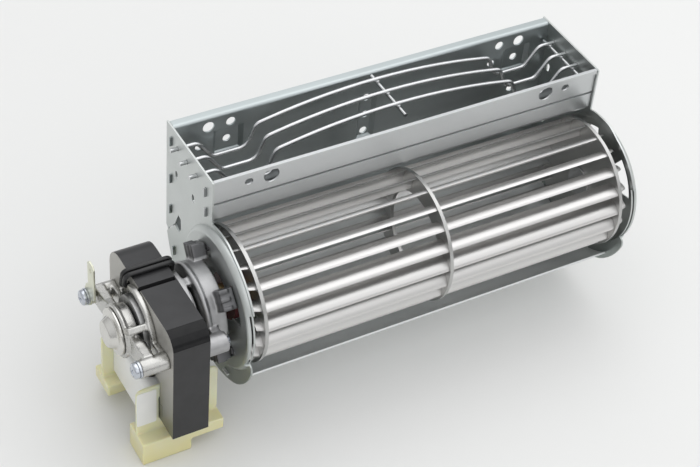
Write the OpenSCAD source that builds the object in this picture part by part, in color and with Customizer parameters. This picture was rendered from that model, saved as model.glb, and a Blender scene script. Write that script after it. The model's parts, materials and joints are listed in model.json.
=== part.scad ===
// Tangential blower: a long blade wheel in a folded scroll housing, turned by a shaded-pole motor.
// X runs along the wheel's axis away from the motor, Y runs to the rear wall, Z runs up to the outlet.
// The origin is the middle of the two fixing holes, on the rear wall's rear face.

/* [Scroll housing] */
// Length between the inner faces of the two end plates
inner_length = 185; // [160:1:240]
// Thickness of the folded steel sheet
sheet = 0.8; // [0.6:0.1:1]
// Distance from the wheel's axis to the rear wall's inner face
wall_y = 48.4; // [47:0.1:52]
// Distance from the wheel's axis to the front panel's face
front_y = 10.9; // [10:0.1:12]
// Height of the outlet's rim above the wheel's axis
rim_z = 53.4; // [52.6:0.2:60]
// How far the rear wall's top ledge reaches back from the wall's inner face
ledge_depth = 4.3; // [3:0.1:6]
// How fast the scroll opens, as a share of its radius for each radian
scroll_growth = 0.14; // [0.13:0.01:0.15]
// Angle at which the scroll starts, from the rear over the top to the front and below
lip_angle = 235; // [233:1:240]
// Outer radius of the bends in the sheet
bend_r = 1.6; // [1.4:0.1:2]
// Height of the front panel's lower edge, where the tongue's front flap takes over
seam_z = 40.6; // [39:0.2:42]
// Width of the hem along the front panel's top edge
hem_h = 1.9; // [1.5:0.1:3]
// Height of the tongue's lowest line above the wheel's axis
tongue_z = 31.2; // [31:0.1:32]
// Depth of the tongue from its front face to its rear face
tongue_depth = 4.6; // [4:0.1:5]
// Height of the tongue's upper inner edge above the wheel's axis
tongue_top_z = 47; // [46.9:0.1:48]
// Width of the locking tabs on the sheets
tab_w = 4.4; // [3:0.1:5]
// How far the locking tabs stand out of the end plates
tab_out = 1; // [0.5:0.1:2]

/* [Holes and embossings] */
// Distance between the two fixing holes in the rear wall
fixing_spacing = 133; // [120:1:150]
// Diameter of the fixing holes
fixing_d = 4.2; // [3.2:0.1:5.2]
// Height of the fixing holes above the wheel's axis
fixing_z = 48.2; // [47:0.1:48.4]
// Diameter of the front panel's holes that let a screwdriver reach the fixing holes
access_d = 7; // [6:0.1:7.4]
// Distance between the two locating holes outside the fixing holes
locating_spacing = 153.4; // [152:0.2:156]
// Diameter of the rear wall's locating holes
locating_d = 5.2; // [4:0.1:5.4]
// Length of the front panel's locating slots
slot_length = 3.7; // [3.2:0.1:5]
// Width of the front panel's locating slots
slot_w = 3; // [2:0.1:3]
// Depth of the embossings in the rear wall
emboss_depth = 1.7; // [1:0.1:2]
// Width of the vertical channel in the middle of the rear wall
channel_w = 10; // [9:0.5:14]
// Diameter of the small holes in the embossings
small_hole_d = 3.6; // [2.5:0.1:4]

/* [End plates] */
// Radius of the plate's round edge around the wheel
round_r = 32.2; // [32.1:0.1:33]
// Radius at which the pressed dish starts
dish_r = 30.6; // [30.2:0.1:30.8]
// Depth of the pressed dish
dish_depth = 2.7; // [2.5:0.1:3.5]
// Outer radius of the four windows in the dish
window_r = 24.4; // [24.2:0.1:25]
// Inner radius of the four windows in the bearing end plate
window_inner_r = 16.5; // [15.5:0.1:18]
// Angle that each window spans
window_span = 43; // [38:1:48]
// Angle of the first window's middle
window_angle = 56.5; // [54:0.5:60]
// Radius of the motor end plate's middle opening
drive_opening_r = 16.4; // [15.4:0.1:17.4]
// Margin of the plate outside the scroll sheet, behind the foot
plate_margin = 2.7; // [2.4:0.1:3.6]
// How far the plate's rear edge stands behind the rear wall's inner face
rear_margin = 5.2; // [4.4:0.1:7]
// Angle at which the plate's foot starts, where the trimmed part of the dish's edge ends
foot_angle = 208; // [204:0.5:211]

/* [Outlet guard] */
// Diameter of the guard's wires
wire_d = 1.8; // [1.4:0.1:2]
// Distance between the three long wires
wire_pitch = 9.1; // [8:0.1:10]
// Distance from the wheel's axis to the middle long wire
wire_y = 33.8; // [33:0.1:35]
// Height of the long wires where they enter the end plates
wire_z = 46.4; // [45:0.1:47]
// Height of the long wires in the dips
dip_z = 37.3; // [36.5:0.1:39]
// Length from a dip's inner foot to the wheel's middle
dip_inner_x = 66.5; // [60:0.5:68]
// Length of a dip's level run
dip_run = 11; // [10:0.5:14]
// Height of the long wires at the guard's middle
bow_z = 53.9; // [52:0.1:56]
// How far the long wires stand out of the end plates
wire_out = 5; // [3:0.5:8]

/* [Blade wheel] */
// Diameter of the blade wheel
wheel_d = 60; // [59:0.1:61]
// Number of blades
blade_count = 20; // [12:1:20]
// Thickness of a blade
blade_t = 0.5; // [0.4:0.05:0.6]
// Gap between the blades' ends and the end plates
blade_end_gap = 1.5; // [1:0.1:3]
// Radial height of a blade
blade_h = 6.6; // [6:0.1:7]
// Radius of a blade's curve
blade_curve_r = 6.6; // [6.2:0.1:7.2]
// Distance from the end plates' inner faces to the middle of the end discs
disc_inset = 5.4; // [5:0.1:8]
// Thickness of the discs that carry the blades
disc_t = 1.6; // [1:0.1:1.8]
// Width of the disc's rim outside the blades
disc_rim = 0.8; // [0.6:0.1:1]
// Inner radius of the ring-shaped middle disc
middle_disc_r = 20; // [18:0.5:21]

/* [Motor] */
// Distance from the motor end plate's inner face to the stack
stack_gap = 20.5; // [20:0.5:26]
// Thickness of the laminated stack
stack_t = 16; // [12:1:20]
// Width of the laminated stack
stack_w = 62.8; // [61.6:0.2:66]
// Height of the stack's top above the wheel's axis
stack_top = 18; // [17.6:0.1:20]
// Depth of the stack's leg ends below the wheel's axis
leg_z = 38.6; // [38.2:0.1:42]
// Width of each leg of the stack
leg_w = 12.9; // [12:0.1:13]
// Depth of the pole piece's lower edge below the wheel's axis
pole_z = 17.3; // [17.1:0.1:17.5]
// Radius of the stack's rounded upper front corner
stack_corner_r = 7.5; // [5:0.5:9]
// Radius of the stack's rounded upper rear corner
stack_rear_r = 10.5; // [5:0.5:12]
// Radius of the stator's bore
bore_r = 14; // [13.8:0.1:14.2]
// Air gap between the rotor and the bore
air_gap = 0.35; // [0.3:0.05:0.5]
// Width of the notches above and below the bore
notch_w = 2; // [1.5:0.1:2.5]
// Diameter of the shaft
shaft_d = 5; // [4.6:0.1:5.4]
// Length of the rotor's end rings
end_ring_h = 4; // [3:0.1:4.4]
// Distance from the axis to the bracket screws
screw_y = 25.5; // [25.2:0.1:26]
// Height of the front screw above the axis, and depth of the rear screw below it
screw_z = 2.6; // [2:0.1:3]
// Diameter of the bracket screws
screw_d = 3.9; // [3.5:0.1:4]
// Diameter of the outer bracket's posts
outer_post_d = 7.4; // [7:0.1:8]
// Length of the outer bracket's posts
outer_post_l = 11.6; // [10.6:0.1:13]
// Diameter of the inner bracket's posts
inner_post_d = 8.6; // [8:0.1:9.2]
// Length of the inner bracket's posts
inner_post_l = 9.4; // [9:0.1:10.4]
// Diameter of the wire of the shading rings
shading_d = 2.1; // [1.8:0.1:2.2]
// Outer radius of the inner bracket's cup
cup_r = 19; // [18.6:0.1:19.4]
// Length of the inner bracket's cup
cup_l = 9.2; // [8:0.1:9.4]

/* [Coil] */
// Height of the iron core that carries the coil
coil_core_h = 12.7; // [12:0.1:13]
// Thickness of the bobbin's walls
bobbin_wall = 1.3; // [1:0.1:1.5]
// Thickness of the winding across the stack
winding_x = 3.6; // [3:0.1:3.9]
// Thickness of the winding above and below the core
winding_z = 4.2; // [4:0.1:4.3]
// Width of the bobbin's flanges and feet
flange_w = 36.6; // [33:0.2:36.8]
// How far the bobbin's flanges stand out above and below the winding
flange_edge = 1.2; // [0.8:0.1:1.4]
// Thickness of the bobbin's two feet below the winding
foot_h = 6; // [5:0.5:8]
// Reach of the bobbin's feet from the axis to the front and rear
foot_reach = 25; // [24:0.5:28]
// Length of each foot
foot_l = 14; // [13:0.5:15]
// Height of the terminal housing under the foot
terminal_housing_h = 6.2; // [5:0.1:8]

/* [Fits] */
// Radial running clearance of the shafts in their bushes
running_gap = 0.04; // [0.02:0.01:0.06]
// Gap between seated pieces
seat_gap = 0.1; // [0.05:0.01:0.15]
// Clearance of the tabs and wires in their slots and holes
slot_gap = 0.2; // [0.1:0.05:0.25]

/* [Hidden] */
$fn = 64;
FIXED_NODES = [
    "scroll_sheet", "outlet_front_panel", "tongue_sheet", "motor_end_plate", "bearing_end_plate",
    "guard_wire_rear", "guard_wire_middle", "guard_wire_front", "bearing_bush", "bearing_rubber_mount",
    "stator_core", "coil_core", "coil_bobbin", "coil_winding", "coil_wrap", "coil_terminals",
    "outer_bracket", "outer_bearing_cap", "inner_bracket", "outer_bush", "inner_bush",
    "bracket_screws", "screw_washers", "earth_tab"
];
WHEEL_NODES = [
    "rotor_core", "rotor_cage", "motor_shaft", "drive_hub_rubber", "drive_hub_sleeve",
    "wheel_disc_motor_end", "wheel_disc_middle", "wheel_disc_bearing_end", "stub_shaft"
];
cross_wire_count = 3;
shading_ring_count = 4;
function cross_wire_name(i) = str("guard_cross_wire_", i);
function shading_ring_name(i) = str("shading_ring_", i);
function blade_name(i) = str("blade_", i < 10 ? "0" : "", i);

// Lines along the axis
plate_in = inner_length / 2;
plate_out = plate_in + sheet;
dish_out = plate_out + dish_depth;
stack_in = -plate_in - stack_gap;
stack_out = stack_in - stack_t;
stack_mid = (stack_in + stack_out) / 2;
disc_x = plate_in - disc_inset;
blade_l = inner_length - 2 * blade_end_gap;

// Scroll, front and wall
growth_angle = atan(scroll_growth);
scroll_end = 360 + growth_angle;
scroll_end_r = wall_y / cos(growth_angle);
scroll_steps = 30;
ledge_z = rim_z - bend_r;
flap_y = front_y + sheet + seat_gap;
overlap_h = 5;
tongue_r = tongue_depth / 2;
tongue_lean = 1.2;
inner_front = tongue_z + tongue_r;
small_gap = 0.5;

// Fits
bush_r = 6;
bush_bore_r = shaft_d / 2 + running_gap;
screw_hole_r = screw_d / 2 + slot_gap;
screw_places = [[-screw_y, screw_z], [screw_y, -screw_z]];

function polar(r, a) = [r * cos(a), r * sin(a)];
function scroll_r(a) = scroll_end_r * exp(-scroll_growth * (scroll_end - a) * PI / 180);
function arc_points(centre, r, a0, a1, steps) =
    [for (i = [0:steps]) centre + polar(r, a0 + (a1 - a0) * i / steps)];
function reversed(v) = [for (i = [len(v) - 1:-1:0]) v[i]];
function left_normal(a, b) = let (d = (b - a) / norm(b - a)) [-d[1], d[0]];
function mitre(n0, n1) = (n0 + n1) / (1 + n0 * n1);
function offset_path(path, t) = let (last = len(path) - 1) [
    for (i = [0:last])
        let (before = left_normal(path[max(i - 1, 0)], path[max(i, 1)]))
        let (after = left_normal(path[min(i, last - 1)], path[min(i + 1, last)]))
        path[i] + t * mitre(before, after)
];
function round_box(w, h, r, steps = 6) = concat(
    arc_points([w / 2 - r, h / 2 - r], r, 0, 90, steps),
    arc_points([r - w / 2, h / 2 - r], r, 90, 180, steps),
    arc_points([r - w / 2, r - h / 2], r, 180, 270, steps),
    arc_points([w / 2 - r, r - h / 2], r, 270, 360, steps)
);

// Moves what is drawn about the wheel's axis to the part's origin
module on_axis() {
    translate([0, -wall_y - sheet, -fixing_z]) children();
}

// Raises a flat outline drawn in Y and Z along X from x0 to x1
module along_x(x0, x1) {
    translate([x0, 0, 0]) rotate([90, 0, 90]) linear_extrude(x1 - x0) children();
}

// Raises a flat outline drawn in X and Z along Y from y0 to y1
module along_y(y0, y1) {
    translate([0, y1, 0]) rotate([90, 0, 0]) linear_extrude(y1 - y0) children();
}

// Turns an outline of radius and length about the X axis
module about_x() {
    rotate([0, 90, 0]) rotate_extrude() children();
}

module rod_x(x0, x1, r) {
    translate([x0, 0, 0]) rotate([0, 90, 0]) cylinder(r = r, h = x1 - x0);
}

module rod_y(y0, y1, r) {
    translate([0, y0, 0]) rotate([-90, 0, 0]) cylinder(r = r, h = y1 - y0);
}

module tube_x(x0, x1, r, bore) {
    difference() {
        rod_x(x0, x1, r);
        rod_x(x0 - 1, x1 + 1, bore);
    }
}

// A sheet's edge outline: the path is one face, the other lies t to its left
module sheet_strip(path, t) {
    other = offset_path(path, t);
    polygon(t > 0 ? concat(path, reversed(other)) : concat(reversed(path), other));
}

module sector(r, a0, a1) {
    polygon(concat([[0, 0]], arc_points([0, 0], r * 1.3, a0, a1, 8)));
}

// Scroll sheet: spiral, rear wall and top ledge in one folded piece
scroll_path = concat(
    [for (i = [0:scroll_steps]) let (a = lip_angle + (scroll_end - lip_angle) * i / scroll_steps)
        polar(scroll_r(a), a)],
    arc_points([wall_y + bend_r, ledge_z], bend_r, 180, 90, 5),
    [[wall_y + ledge_depth, rim_z]]
);
wall_tabs = [46, 26, 9];
spiral_tabs = [345, 315, 285, 258];
channel_z = [16, 43];
channel_holes = [38.7, 29.4, 20.4];
dimple_x = [-67.4, 76.4];
dimple_z = 38.3;
dimple_size = 15;
oval_places = [[-80.9, 39], [63.2, 39.4]];
low_hole = [76.2, 21.7];

// A locking tab's outline across the sheet, with its middle on the sheet's middle line
module tab_outline(grow) {
    square([sheet + 2 * grow, tab_w + 2 * grow], center = true);
}

module wall_tab_places(grow) {
    for (z = wall_tabs)
        translate([wall_y + sheet / 2, z]) tab_outline(grow);
    for (a = spiral_tabs)
        translate(polar(scroll_r(a) + sheet / 2, a)) rotate(a + growth_angle) tab_outline(grow);
}

// A shallow pad with sloping sides, standing from y0 to y0 + depth
module pad(w, z0, z1, y0, depth) {
    intersection() {
        translate([0, 0, z0]) linear_extrude(z1 - z0)
            polygon([[-w / 2, y0], [w / 2, y0], [w / 2 - depth, y0 + depth], [depth - w / 2, y0 + depth]]);
        along_x(-w / 2, w / 2)
            polygon([[y0, z0], [y0, z1], [y0 + depth, z1 - depth], [y0 + depth, z0 + depth]]);
    }
}

// The pads that press the embossings into the wall, moved back by the sheet's thickness for their outside
module emboss_pads(outside) {
    grow = outside ? sheet : 0;
    depth = emboss_depth + (outside ? sheet : small_gap);
    y0 = wall_y - (outside ? 0 : small_gap);
    pad(channel_w + 2 * grow, channel_z[0] - grow, channel_z[1] + grow, y0, depth);
    for (x = dimple_x)
        translate([x, 0, 0])
            pad(dimple_size + 2 * grow, dimple_z - dimple_size / 2 - grow, dimple_z + dimple_size / 2 + grow, y0, depth);
}

module wall_drill(x, z, d) {
    translate([x, 0, z]) rod_y(wall_y - 1, wall_y + sheet + emboss_depth + 1, d / 2);
}

module scroll_sheet() {
    color("gainsboro") on_axis() difference() {
        union() {
            along_x(-plate_in + seat_gap, plate_in - seat_gap) sheet_strip(scroll_path, -sheet);
            for (side = [-1, 1])
                scale([side, 1, 1]) along_x(plate_in - 1, plate_out + tab_out) wall_tab_places(0);
            emboss_pads(true);
        }
        emboss_pads(false);
        for (side = [-1, 1]) {
            wall_drill(side * fixing_spacing / 2, fixing_z, fixing_d);
            wall_drill(side * locating_spacing / 2, fixing_z, locating_d);
        }
        for (z = channel_holes)
            wall_drill(0, z, small_hole_d);
        for (x = dimple_x)
            wall_drill(x, dimple_z, small_hole_d);
        wall_drill(low_hole[0], low_hole[1], small_hole_d);
        for (place = oval_places)
            translate([place[0], 0, place[1]]) obround_y(wall_y - 1, wall_y + sheet + 1, slot_length, slot_w);
    }
}

// A slot with round ends, cut along Y
module obround_y(y0, y1, length, width) {
    for (side = [-1, 1])
        translate([side * (length - width) / 2, 0, 0]) rod_y(y0, y1, width / 2);
    along_y(y0, y1) square([length - width, width], center = true);
}

// Front panel: a joggled strip behind the tongue's flap, the face, and a hem along the top
panel_path = [
    [flap_y, seam_z - overlap_h],
    [flap_y, seam_z],
    [front_y, seam_z + sheet + 0.2],
    [front_y, rim_z]
];

module outlet_front_panel() {
    color("silver") on_axis() difference() {
        along_x(-plate_in + seat_gap, plate_in - seat_gap) {
            sheet_strip(panel_path, -sheet);
            translate([front_y - sheet, rim_z - hem_h]) square([sheet + 0.1, hem_h]);
        }
        for (side = [-1, 1]) {
            translate([side * fixing_spacing / 2, 0, fixing_z]) rod_y(front_y - 2, front_y + 2, access_d / 2);
            translate([side * locating_spacing / 2, 0, fixing_z])
                obround_y(front_y - 2, front_y + 2, slot_length, slot_w);
        }
    }
}

// Tongue: the front flap, the rounded nose above the wheel and the duct's inner front wall
nose_centre = [front_y + tongue_r, inner_front];
tongue_path = concat(
    [[front_y, seam_z - seat_gap]],
    arc_points(nose_centre, tongue_r, 180, 360, 10),
    [[front_y + tongue_depth + tongue_lean, tongue_top_z]]
);
tongue_tabs = [34.6, 44.4];

// The sheet's middle line on the tongue's inner wall at height z
function tongue_wall_y(z) =
    front_y + tongue_depth - sheet / 2 + tongue_lean * (z - inner_front) / (tongue_top_z - inner_front);

module tongue_tab_places(grow) {
    for (z = tongue_tabs)
        translate([tongue_wall_y(z), z]) tab_outline(grow);
}

module tongue_sheet() {
    color("lightgray") on_axis() difference() {
        union() {
            along_x(-plate_in + seat_gap, plate_in - seat_gap) sheet_strip(tongue_path, sheet);
            for (side = [-1, 1])
                scale([side, 1, 1]) along_x(plate_in - 1, plate_out + tab_out) tongue_tab_places(0);
        }
        for (side = [-1, 1])
            translate([side * fixing_spacing / 2, 0, fixing_z])
                rod_y(front_y + 2, front_y + tongue_depth + 4, access_d / 2);
    }
}

// End plates: both are one stamping, with a pressed dish, four windows and slots for the tabs
plate_front_y = front_y - sheet - 0.3;
plate_rear_y = wall_y + rear_margin;
foot_bend = 243;
function plate_edge_r(a) = scroll_r(a) + sheet + plate_margin + (a - foot_bend) / (a > foot_bend ? 40 : 13);
trim_angle = 153;
trim_depth = 0.4;
shoulder_h = 1.2;
oval_spots = [[43.7, 31.6], [27.7, 31.6]];
relief_r = 1.6;

module plate_outline() {
    difference() {
        union() {
            circle(r = round_r);
            polygon(concat([[0, 0]], foot_tip, [for (i = [0:28]) let (a = foot_angle + 5.5 + (350.5 - foot_angle) * i / 28)
                polar(plate_edge_r(a), a)]));
            polygon(concat([[0, 0]], arc_points([0, 0], round_r + shoulder_h, 68, 98, 6),
                [polar(round_r + shoulder_h / 2, 104), polar(round_r, 111)]));
            translate([plate_front_y, -4]) square([plate_rear_y - plate_front_y, rim_z + 4]);
        }
        translate([plate_rear_y, -5.2]) circle(r = relief_r);
    }
}

// The foot's rounded tip, from the trimmed dish out to the spiral edge
foot_tip = [
    polar(dish_r - 1, foot_angle), polar(dish_r + 1.4, foot_angle), polar(dish_r + 2.5, foot_angle + 0.8),
    polar(dish_r + 3.2, foot_angle + 2), polar(dish_r + 3.7, foot_angle + 3.6)
];

module plate_windows(inner_r) {
    intersection() {
        difference() {
            circle(r = window_r);
            circle(r = inner_r);
        }
        for (i = [0:3])
            sector(window_r, window_angle - window_span / 2 + 90 * i, window_angle + window_span / 2 + 90 * i);
    }
}

// Drawn with its inner face at X = 0 and its dish pointing to +X
module plate_body(opening_r) {
    difference() {
        union() {
            along_x(0, sheet) difference() {
                plate_outline();
                circle(r = dish_r - small_gap);
            }
            about_x() dish_outline(opening_r);
        }
        along_x(-1, dish_depth + sheet + 1) difference() {
            sector(round_r + 4, trim_angle, foot_angle);
            circle(r = dish_r - trim_depth);
        }
        along_x(-1, sheet + 1) {
            wall_tab_places(slot_gap);
            tongue_tab_places(slot_gap);
            for (i = [-1:1])
                translate([wire_y + i * wire_pitch, wire_z]) circle(r = wire_d / 2 + slot_gap);
            for (spot = oval_spots)
                translate(spot) obround_outline(2, 4);
        }
    }
}

module obround_outline(w, h) {
    square([w, h - w], center = true);
    for (side = [-1, 1])
        translate([0, side * (h - w) / 2]) circle(r = w / 2);
}

// The dish's section: its path is the inner face, from the flat edge over the rounded rim to the opening
module dish_outline(opening_r) {
    rim_r = dish_depth;
    path = concat(
        [[dish_r, 0], [dish_r, 0.2]],
        arc_points([dish_r - rim_r, 0.2], rim_r, 15, 90, 5),
        [[opening_r, dish_depth + 0.2]]
    );
    intersection() {
        union() {
            sheet_strip(path, -sheet);
            translate([dish_r - small_gap, 0]) square([1, sheet]);
        }
        translate([opening_r, 0]) square([dish_r, dish_depth + sheet]);
    }
}

module motor_end_plate() {
    color("lightsteelblue") on_axis() translate([-plate_in, 0, 0]) scale([-1, 1, 1]) difference() {
        plate_body(drive_opening_r);
        along_x(-1, dish_depth + sheet + 1) plate_windows(drive_opening_r - 1);
    }
}

module bearing_end_plate() {
    color("lightsteelblue") on_axis() translate([plate_in, 0, 0]) difference() {
        plate_body(mount_hole_r);
        along_x(-1, dish_depth + sheet + 1) plate_windows(window_inner_r);
    }
}

// Outlet guard: three long wires with a dip at each end and a bow between, on three short cross wires
wire_r = wire_d / 2;
dip_slope = 0.76;
bow_angle = 11;
bow_r = 280;
dip_outer_x = dip_inner_x + dip_run;
dip_rise = wire_z - dip_z;
shoulder_x = dip_inner_x - 7.2;
shoulder_z = bow_z + bow_r * (1 / cos(bow_angle) - 1) - shoulder_x * tan(bow_angle);
wire_end_x = plate_out + wire_out;

// Corners of one half of a long wire from its end to the middle, each with its bend's radius
wire_half = [
    [[wire_end_x, wire_z], 0],
    [[dip_outer_x + dip_rise * dip_slope, wire_z], 4],
    [[dip_outer_x, dip_z], 4],
    [[dip_inner_x, dip_z], 4],
    [[shoulder_x, shoulder_z], 5],
    [[0, shoulder_z + shoulder_x * tan(bow_angle)], bow_r]
];
function mirrored(v) = [for (i = [len(v) - 2:-1:0]) [[-v[i][0][0], v[i][0][1]], v[i][1]]];
long_wire = concat(wire_half, mirrored(wire_half));

// Points where the straight runs meet the bend at corner i, and the bend's centre and angles
function toward(a, b) = (b - a) / norm(b - a);
function turn(p, i) = let (u = toward(p[i - 1][0], p[i][0]), v = toward(p[i][0], p[i + 1][0])) acos(u * v);
function bend_start(p, i) = i == 0 || i == len(p) - 1
    ? p[i][0]
    : p[i][0] - toward(p[i - 1][0], p[i][0]) * p[i][1] * tan(turn(p, i) / 2);
function bend_end(p, i) = i == 0 || i == len(p) - 1
    ? p[i][0]
    : p[i][0] + toward(p[i][0], p[i + 1][0]) * p[i][1] * tan(turn(p, i) / 2);
function turns_left(p, i) =
    let (u = toward(p[i - 1][0], p[i][0]), v = toward(p[i][0], p[i + 1][0])) u[0] * v[1] - u[1] * v[0] > 0;
function bend_points(p, i, steps) = let (
        left = turns_left(p, i) ? 1 : -1,
        u = toward(p[i - 1][0], p[i][0]),
        normal = left * [-u[1], u[0]],
        centre = bend_start(p, i) + p[i][1] * normal,
        start = atan2(-normal[1], -normal[0])
    ) arc_points(centre, p[i][1], start, start + left * turn(p, i), steps);
wire_bend_steps = 6;
function wire_line(p) = concat(
    [p[0][0]],
    [for (i = [1:len(p) - 2]) each bend_points(p, i, p[i][1] > 50 ? 2 * wire_bend_steps : wire_bend_steps)],
    [p[len(p) - 1][0]]
);

// A round wire swept along a path in X and Z, with its rings square to the path
wire_sides = 10;
module swept_wire(path, r) {
    last = len(path) - 1;
    rings = [for (i = [0:last])
        let (before = left_normal(path[max(i - 1, 0)], path[max(i, 1)]))
        let (after = left_normal(path[min(i, last - 1)], path[min(i + 1, last)]))
        let (n = mitre(before, after))
        for (k = [0:wire_sides - 1])
            let (a = 360 * k / wire_sides)
            [path[i][0] + r * cos(a) * n[0], r * sin(a), path[i][1] + r * cos(a) * n[1]]
    ];
    sides = [for (i = [0:last - 1], k = [0:wire_sides - 1])
        let (k2 = (k + 1) % wire_sides)
        [i * wire_sides + k, i * wire_sides + k2, (i + 1) * wire_sides + k2, (i + 1) * wire_sides + k]
    ];
    ends = [
        [for (k = [wire_sides - 1:-1:0]) k],
        [for (k = [0:wire_sides - 1]) last * wire_sides + k]
    ];
    polyhedron(points = rings, faces = concat(sides, ends));
}

module guard_wire(i) {
    color("whitesmoke") on_axis() translate([0, wire_y + i * wire_pitch, 0]) swept_wire(wire_line(long_wire), wire_r);
}

module guard_wire_rear() {
    guard_wire(1);
}

module guard_wire_middle() {
    guard_wire(0);
}

module guard_wire_front() {
    guard_wire(-1);
}

// Cross wires lie under the long wires: one in the middle and one beside each end plate
cross_wire_y = [wire_y - wire_pitch - 6.5, wall_y - 0.8];
cross_wire_x = [-plate_in + 2, 0, plate_in - 2];
cross_wire_z = [wire_z, bow_z, wire_z];
module guard_cross_wire(i) {
    color("whitesmoke") on_axis() translate([cross_wire_x[i - 1], 0, cross_wire_z[i - 1] - wire_d - seat_gap / 2])
        rod_y(cross_wire_y[0], cross_wire_y[1], wire_r);
}

// End bearing: a sintered bush in a rubber ring that grips the end plate's middle hole
mount_hole_r = 10.2;
mount_flange_r = 12.4;
mount_flange_t = 1.6;
bearing_l = 8;
bearing_x = plate_in + dish_depth + sheet / 2 - bearing_l / 2;

module bearing_rubber_mount() {
    color("dimgray") on_axis() about_x() {
        plate_x = plate_in + dish_depth;
        difference() {
            union() {
                translate([0, bearing_x]) square([mount_hole_r - seat_gap, bearing_l]);
                translate([0, plate_x - seat_gap - mount_flange_t]) square([mount_flange_r, mount_flange_t]);
                translate([0, plate_x + sheet + seat_gap]) square([mount_flange_r, mount_flange_t]);
            }
            translate([-1, bearing_x - 1]) square([bush_r + seat_gap + 1, bearing_l + 2]);
        }
    }
}

// A bush with a chamfered outer edge at each end
module bush(x0, x1) {
    chamfer = 0.6;
    about_x() polygon([
        [bush_bore_r, x0], [bush_r - chamfer, x0], [bush_r, x0 + chamfer],
        [bush_r, x1 - chamfer], [bush_r - chamfer, x1], [bush_bore_r, x1]
    ]);
}

module bearing_bush() {
    color("peru") on_axis() bush(bearing_x, bearing_x + bearing_l);
}

// Stator: a U-shaped stack whose upper part is bored for the rotor
leg_in = stack_w / 2 - leg_w;
dovetail_depth = 2.4;
dovetail_h = [4.4, 6.4];
core_z = -leg_z + coil_core_h / 2;
notch_y = 1.1;
notch_floor = 1.5;
shading_places = [[9.4, 11.3, 11.4], [12.1, 14, 9.2]];

// The core's dovetail at +Y, starting inside the bar so that it joins it
module dovetail(grow) {
    polygon([
        [leg_in - 1, -dovetail_h[0] / 2 - grow], [leg_in, -dovetail_h[0] / 2 - grow],
        [leg_in + dovetail_depth + grow, -dovetail_h[1] / 2 - grow], [leg_in + dovetail_depth + grow, dovetail_h[1] / 2 + grow],
        [leg_in, dovetail_h[0] / 2 + grow], [leg_in - 1, dovetail_h[0] / 2 + grow]
    ]);
}

module stack_outline() {
    half = stack_w / 2;
    polygon(concat(
        [[-half, -leg_z], [-leg_in, -leg_z], [-leg_in, -pole_z], [leg_in, -pole_z], [leg_in, -leg_z], [half, -leg_z]],
        arc_points([half - stack_rear_r, stack_top - stack_rear_r], stack_rear_r, 0, 90, 8),
        arc_points([stack_corner_r - half, stack_top - stack_corner_r], stack_corner_r, 90, 180, 8)
    ));
}

module stator_core() {
    color("dimgray") on_axis() along_x(stack_out, stack_in) difference() {
        stack_outline();
        circle(r = bore_r);
        translate([notch_y - notch_w / 2, bore_r + notch_floor]) square([notch_w, stack_top]);
        translate([-notch_y - notch_w / 2, -bore_r - notch_floor - stack_top]) square([notch_w, stack_top]);
        for (place = screw_places)
            translate(place) circle(r = screw_hole_r);
        for (side = [0, 180], place = shading_places)
            rotate(side) translate([place[1], place[2]]) rotate(shading_lean(place)) shading_slot();
        translate([0, core_z]) for (side = [0, 180])
            rotate(side) dovetail(seat_gap / 2);
    }
}

module coil_core() {
    color("gray") on_axis() along_x(stack_out, stack_in) translate([0, core_z]) {
        square([2 * leg_in - seat_gap, coil_core_h], center = true);
        for (side = [0, 180])
            rotate(side) dovetail(0);
    }
}

// The slot is longer than the wire is thick, so that the bent ring goes in
module shading_slot() {
    slot_r = shading_d / 2 + seat_gap;
    circle(r = slot_r);
    translate([-slot_r, 0]) square([2 * slot_r, slot_rise]);
    translate([0, slot_rise]) circle(r = slot_r);
}

// Shading rings: each closed loop runs over a pole tip and back through its slot
shading_corner_r = 2.2;
slot_rise = 0.8;
function shading_lean(place) = atan((place[1] - place[0]) / (stack_top - place[2]));

module shading_ring(i) {
    place = shading_places[(i - 1) % 2];
    side = i > 2 ? 180 : 0;
    edge_z = side == 0 ? stack_top : pole_z;
    top = edge_z + shading_d / 2 + seat_gap;
    slot_y = place[1];
    slot_z = place[2];
    lean = shading_lean(place);
    loop_h = round(10 * (top - slot_z) / cos(lean)) / 10;
    loop_w = stack_t + 2 * shading_corner_r + 2 * seat_gap;
    color("black") on_axis() rotate([side, 0, 0]) translate([stack_mid, slot_y, slot_z]) rotate([lean, 0, 0])
        translate([0, 0, loop_h / 2]) wire_loop(loop_w, loop_h, shading_corner_r, shading_d / 2);
}

// A closed loop of round wire in X and Z: four straight runs and four quarter bends
module wire_loop(w, h, corner, r) {
    for (side = [-1, 1]) {
        translate([corner - w / 2, 0, side * h / 2]) rotate([0, 90, 0]) cylinder(r = r, h = w - 2 * corner);
        translate([side * w / 2, 0, corner - h / 2]) cylinder(r = r, h = h - 2 * corner);
    }
    for (i = [0:3])
        translate([(i == 0 || i == 3 ? 1 : -1) * (w / 2 - corner), 0, (i < 2 ? 1 : -1) * (h / 2 - corner)])
            rotate([90, 0, 0]) rotate([0, 0, 90 * i]) rotate_extrude(angle = 90) translate([corner, 0]) circle(r = r);
}

// Coil: winding on a moulded bobbin around the core
spool_x = stack_t / 2 + seat_gap + bobbin_wall;
spool_z = coil_core_h / 2 + seat_gap + bobbin_wall;
winding_half_x = spool_x + seat_gap + winding_x;
winding_half_z = spool_z + seat_gap + winding_z;
flange_half_x = flange_w / 2;
flange_half_z = winding_half_z + flange_edge;
flange_out = leg_in - seat_gap;
flange_in = flange_out - bobbin_wall;
foot_top = core_z - winding_half_z - seat_gap;
housing_w = 22;

module ring_box(w, h, r, inner_w, inner_h) {
    difference() {
        polygon(round_box(w, h, r));
        square([inner_w, inner_h], center = true);
    }
}

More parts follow.
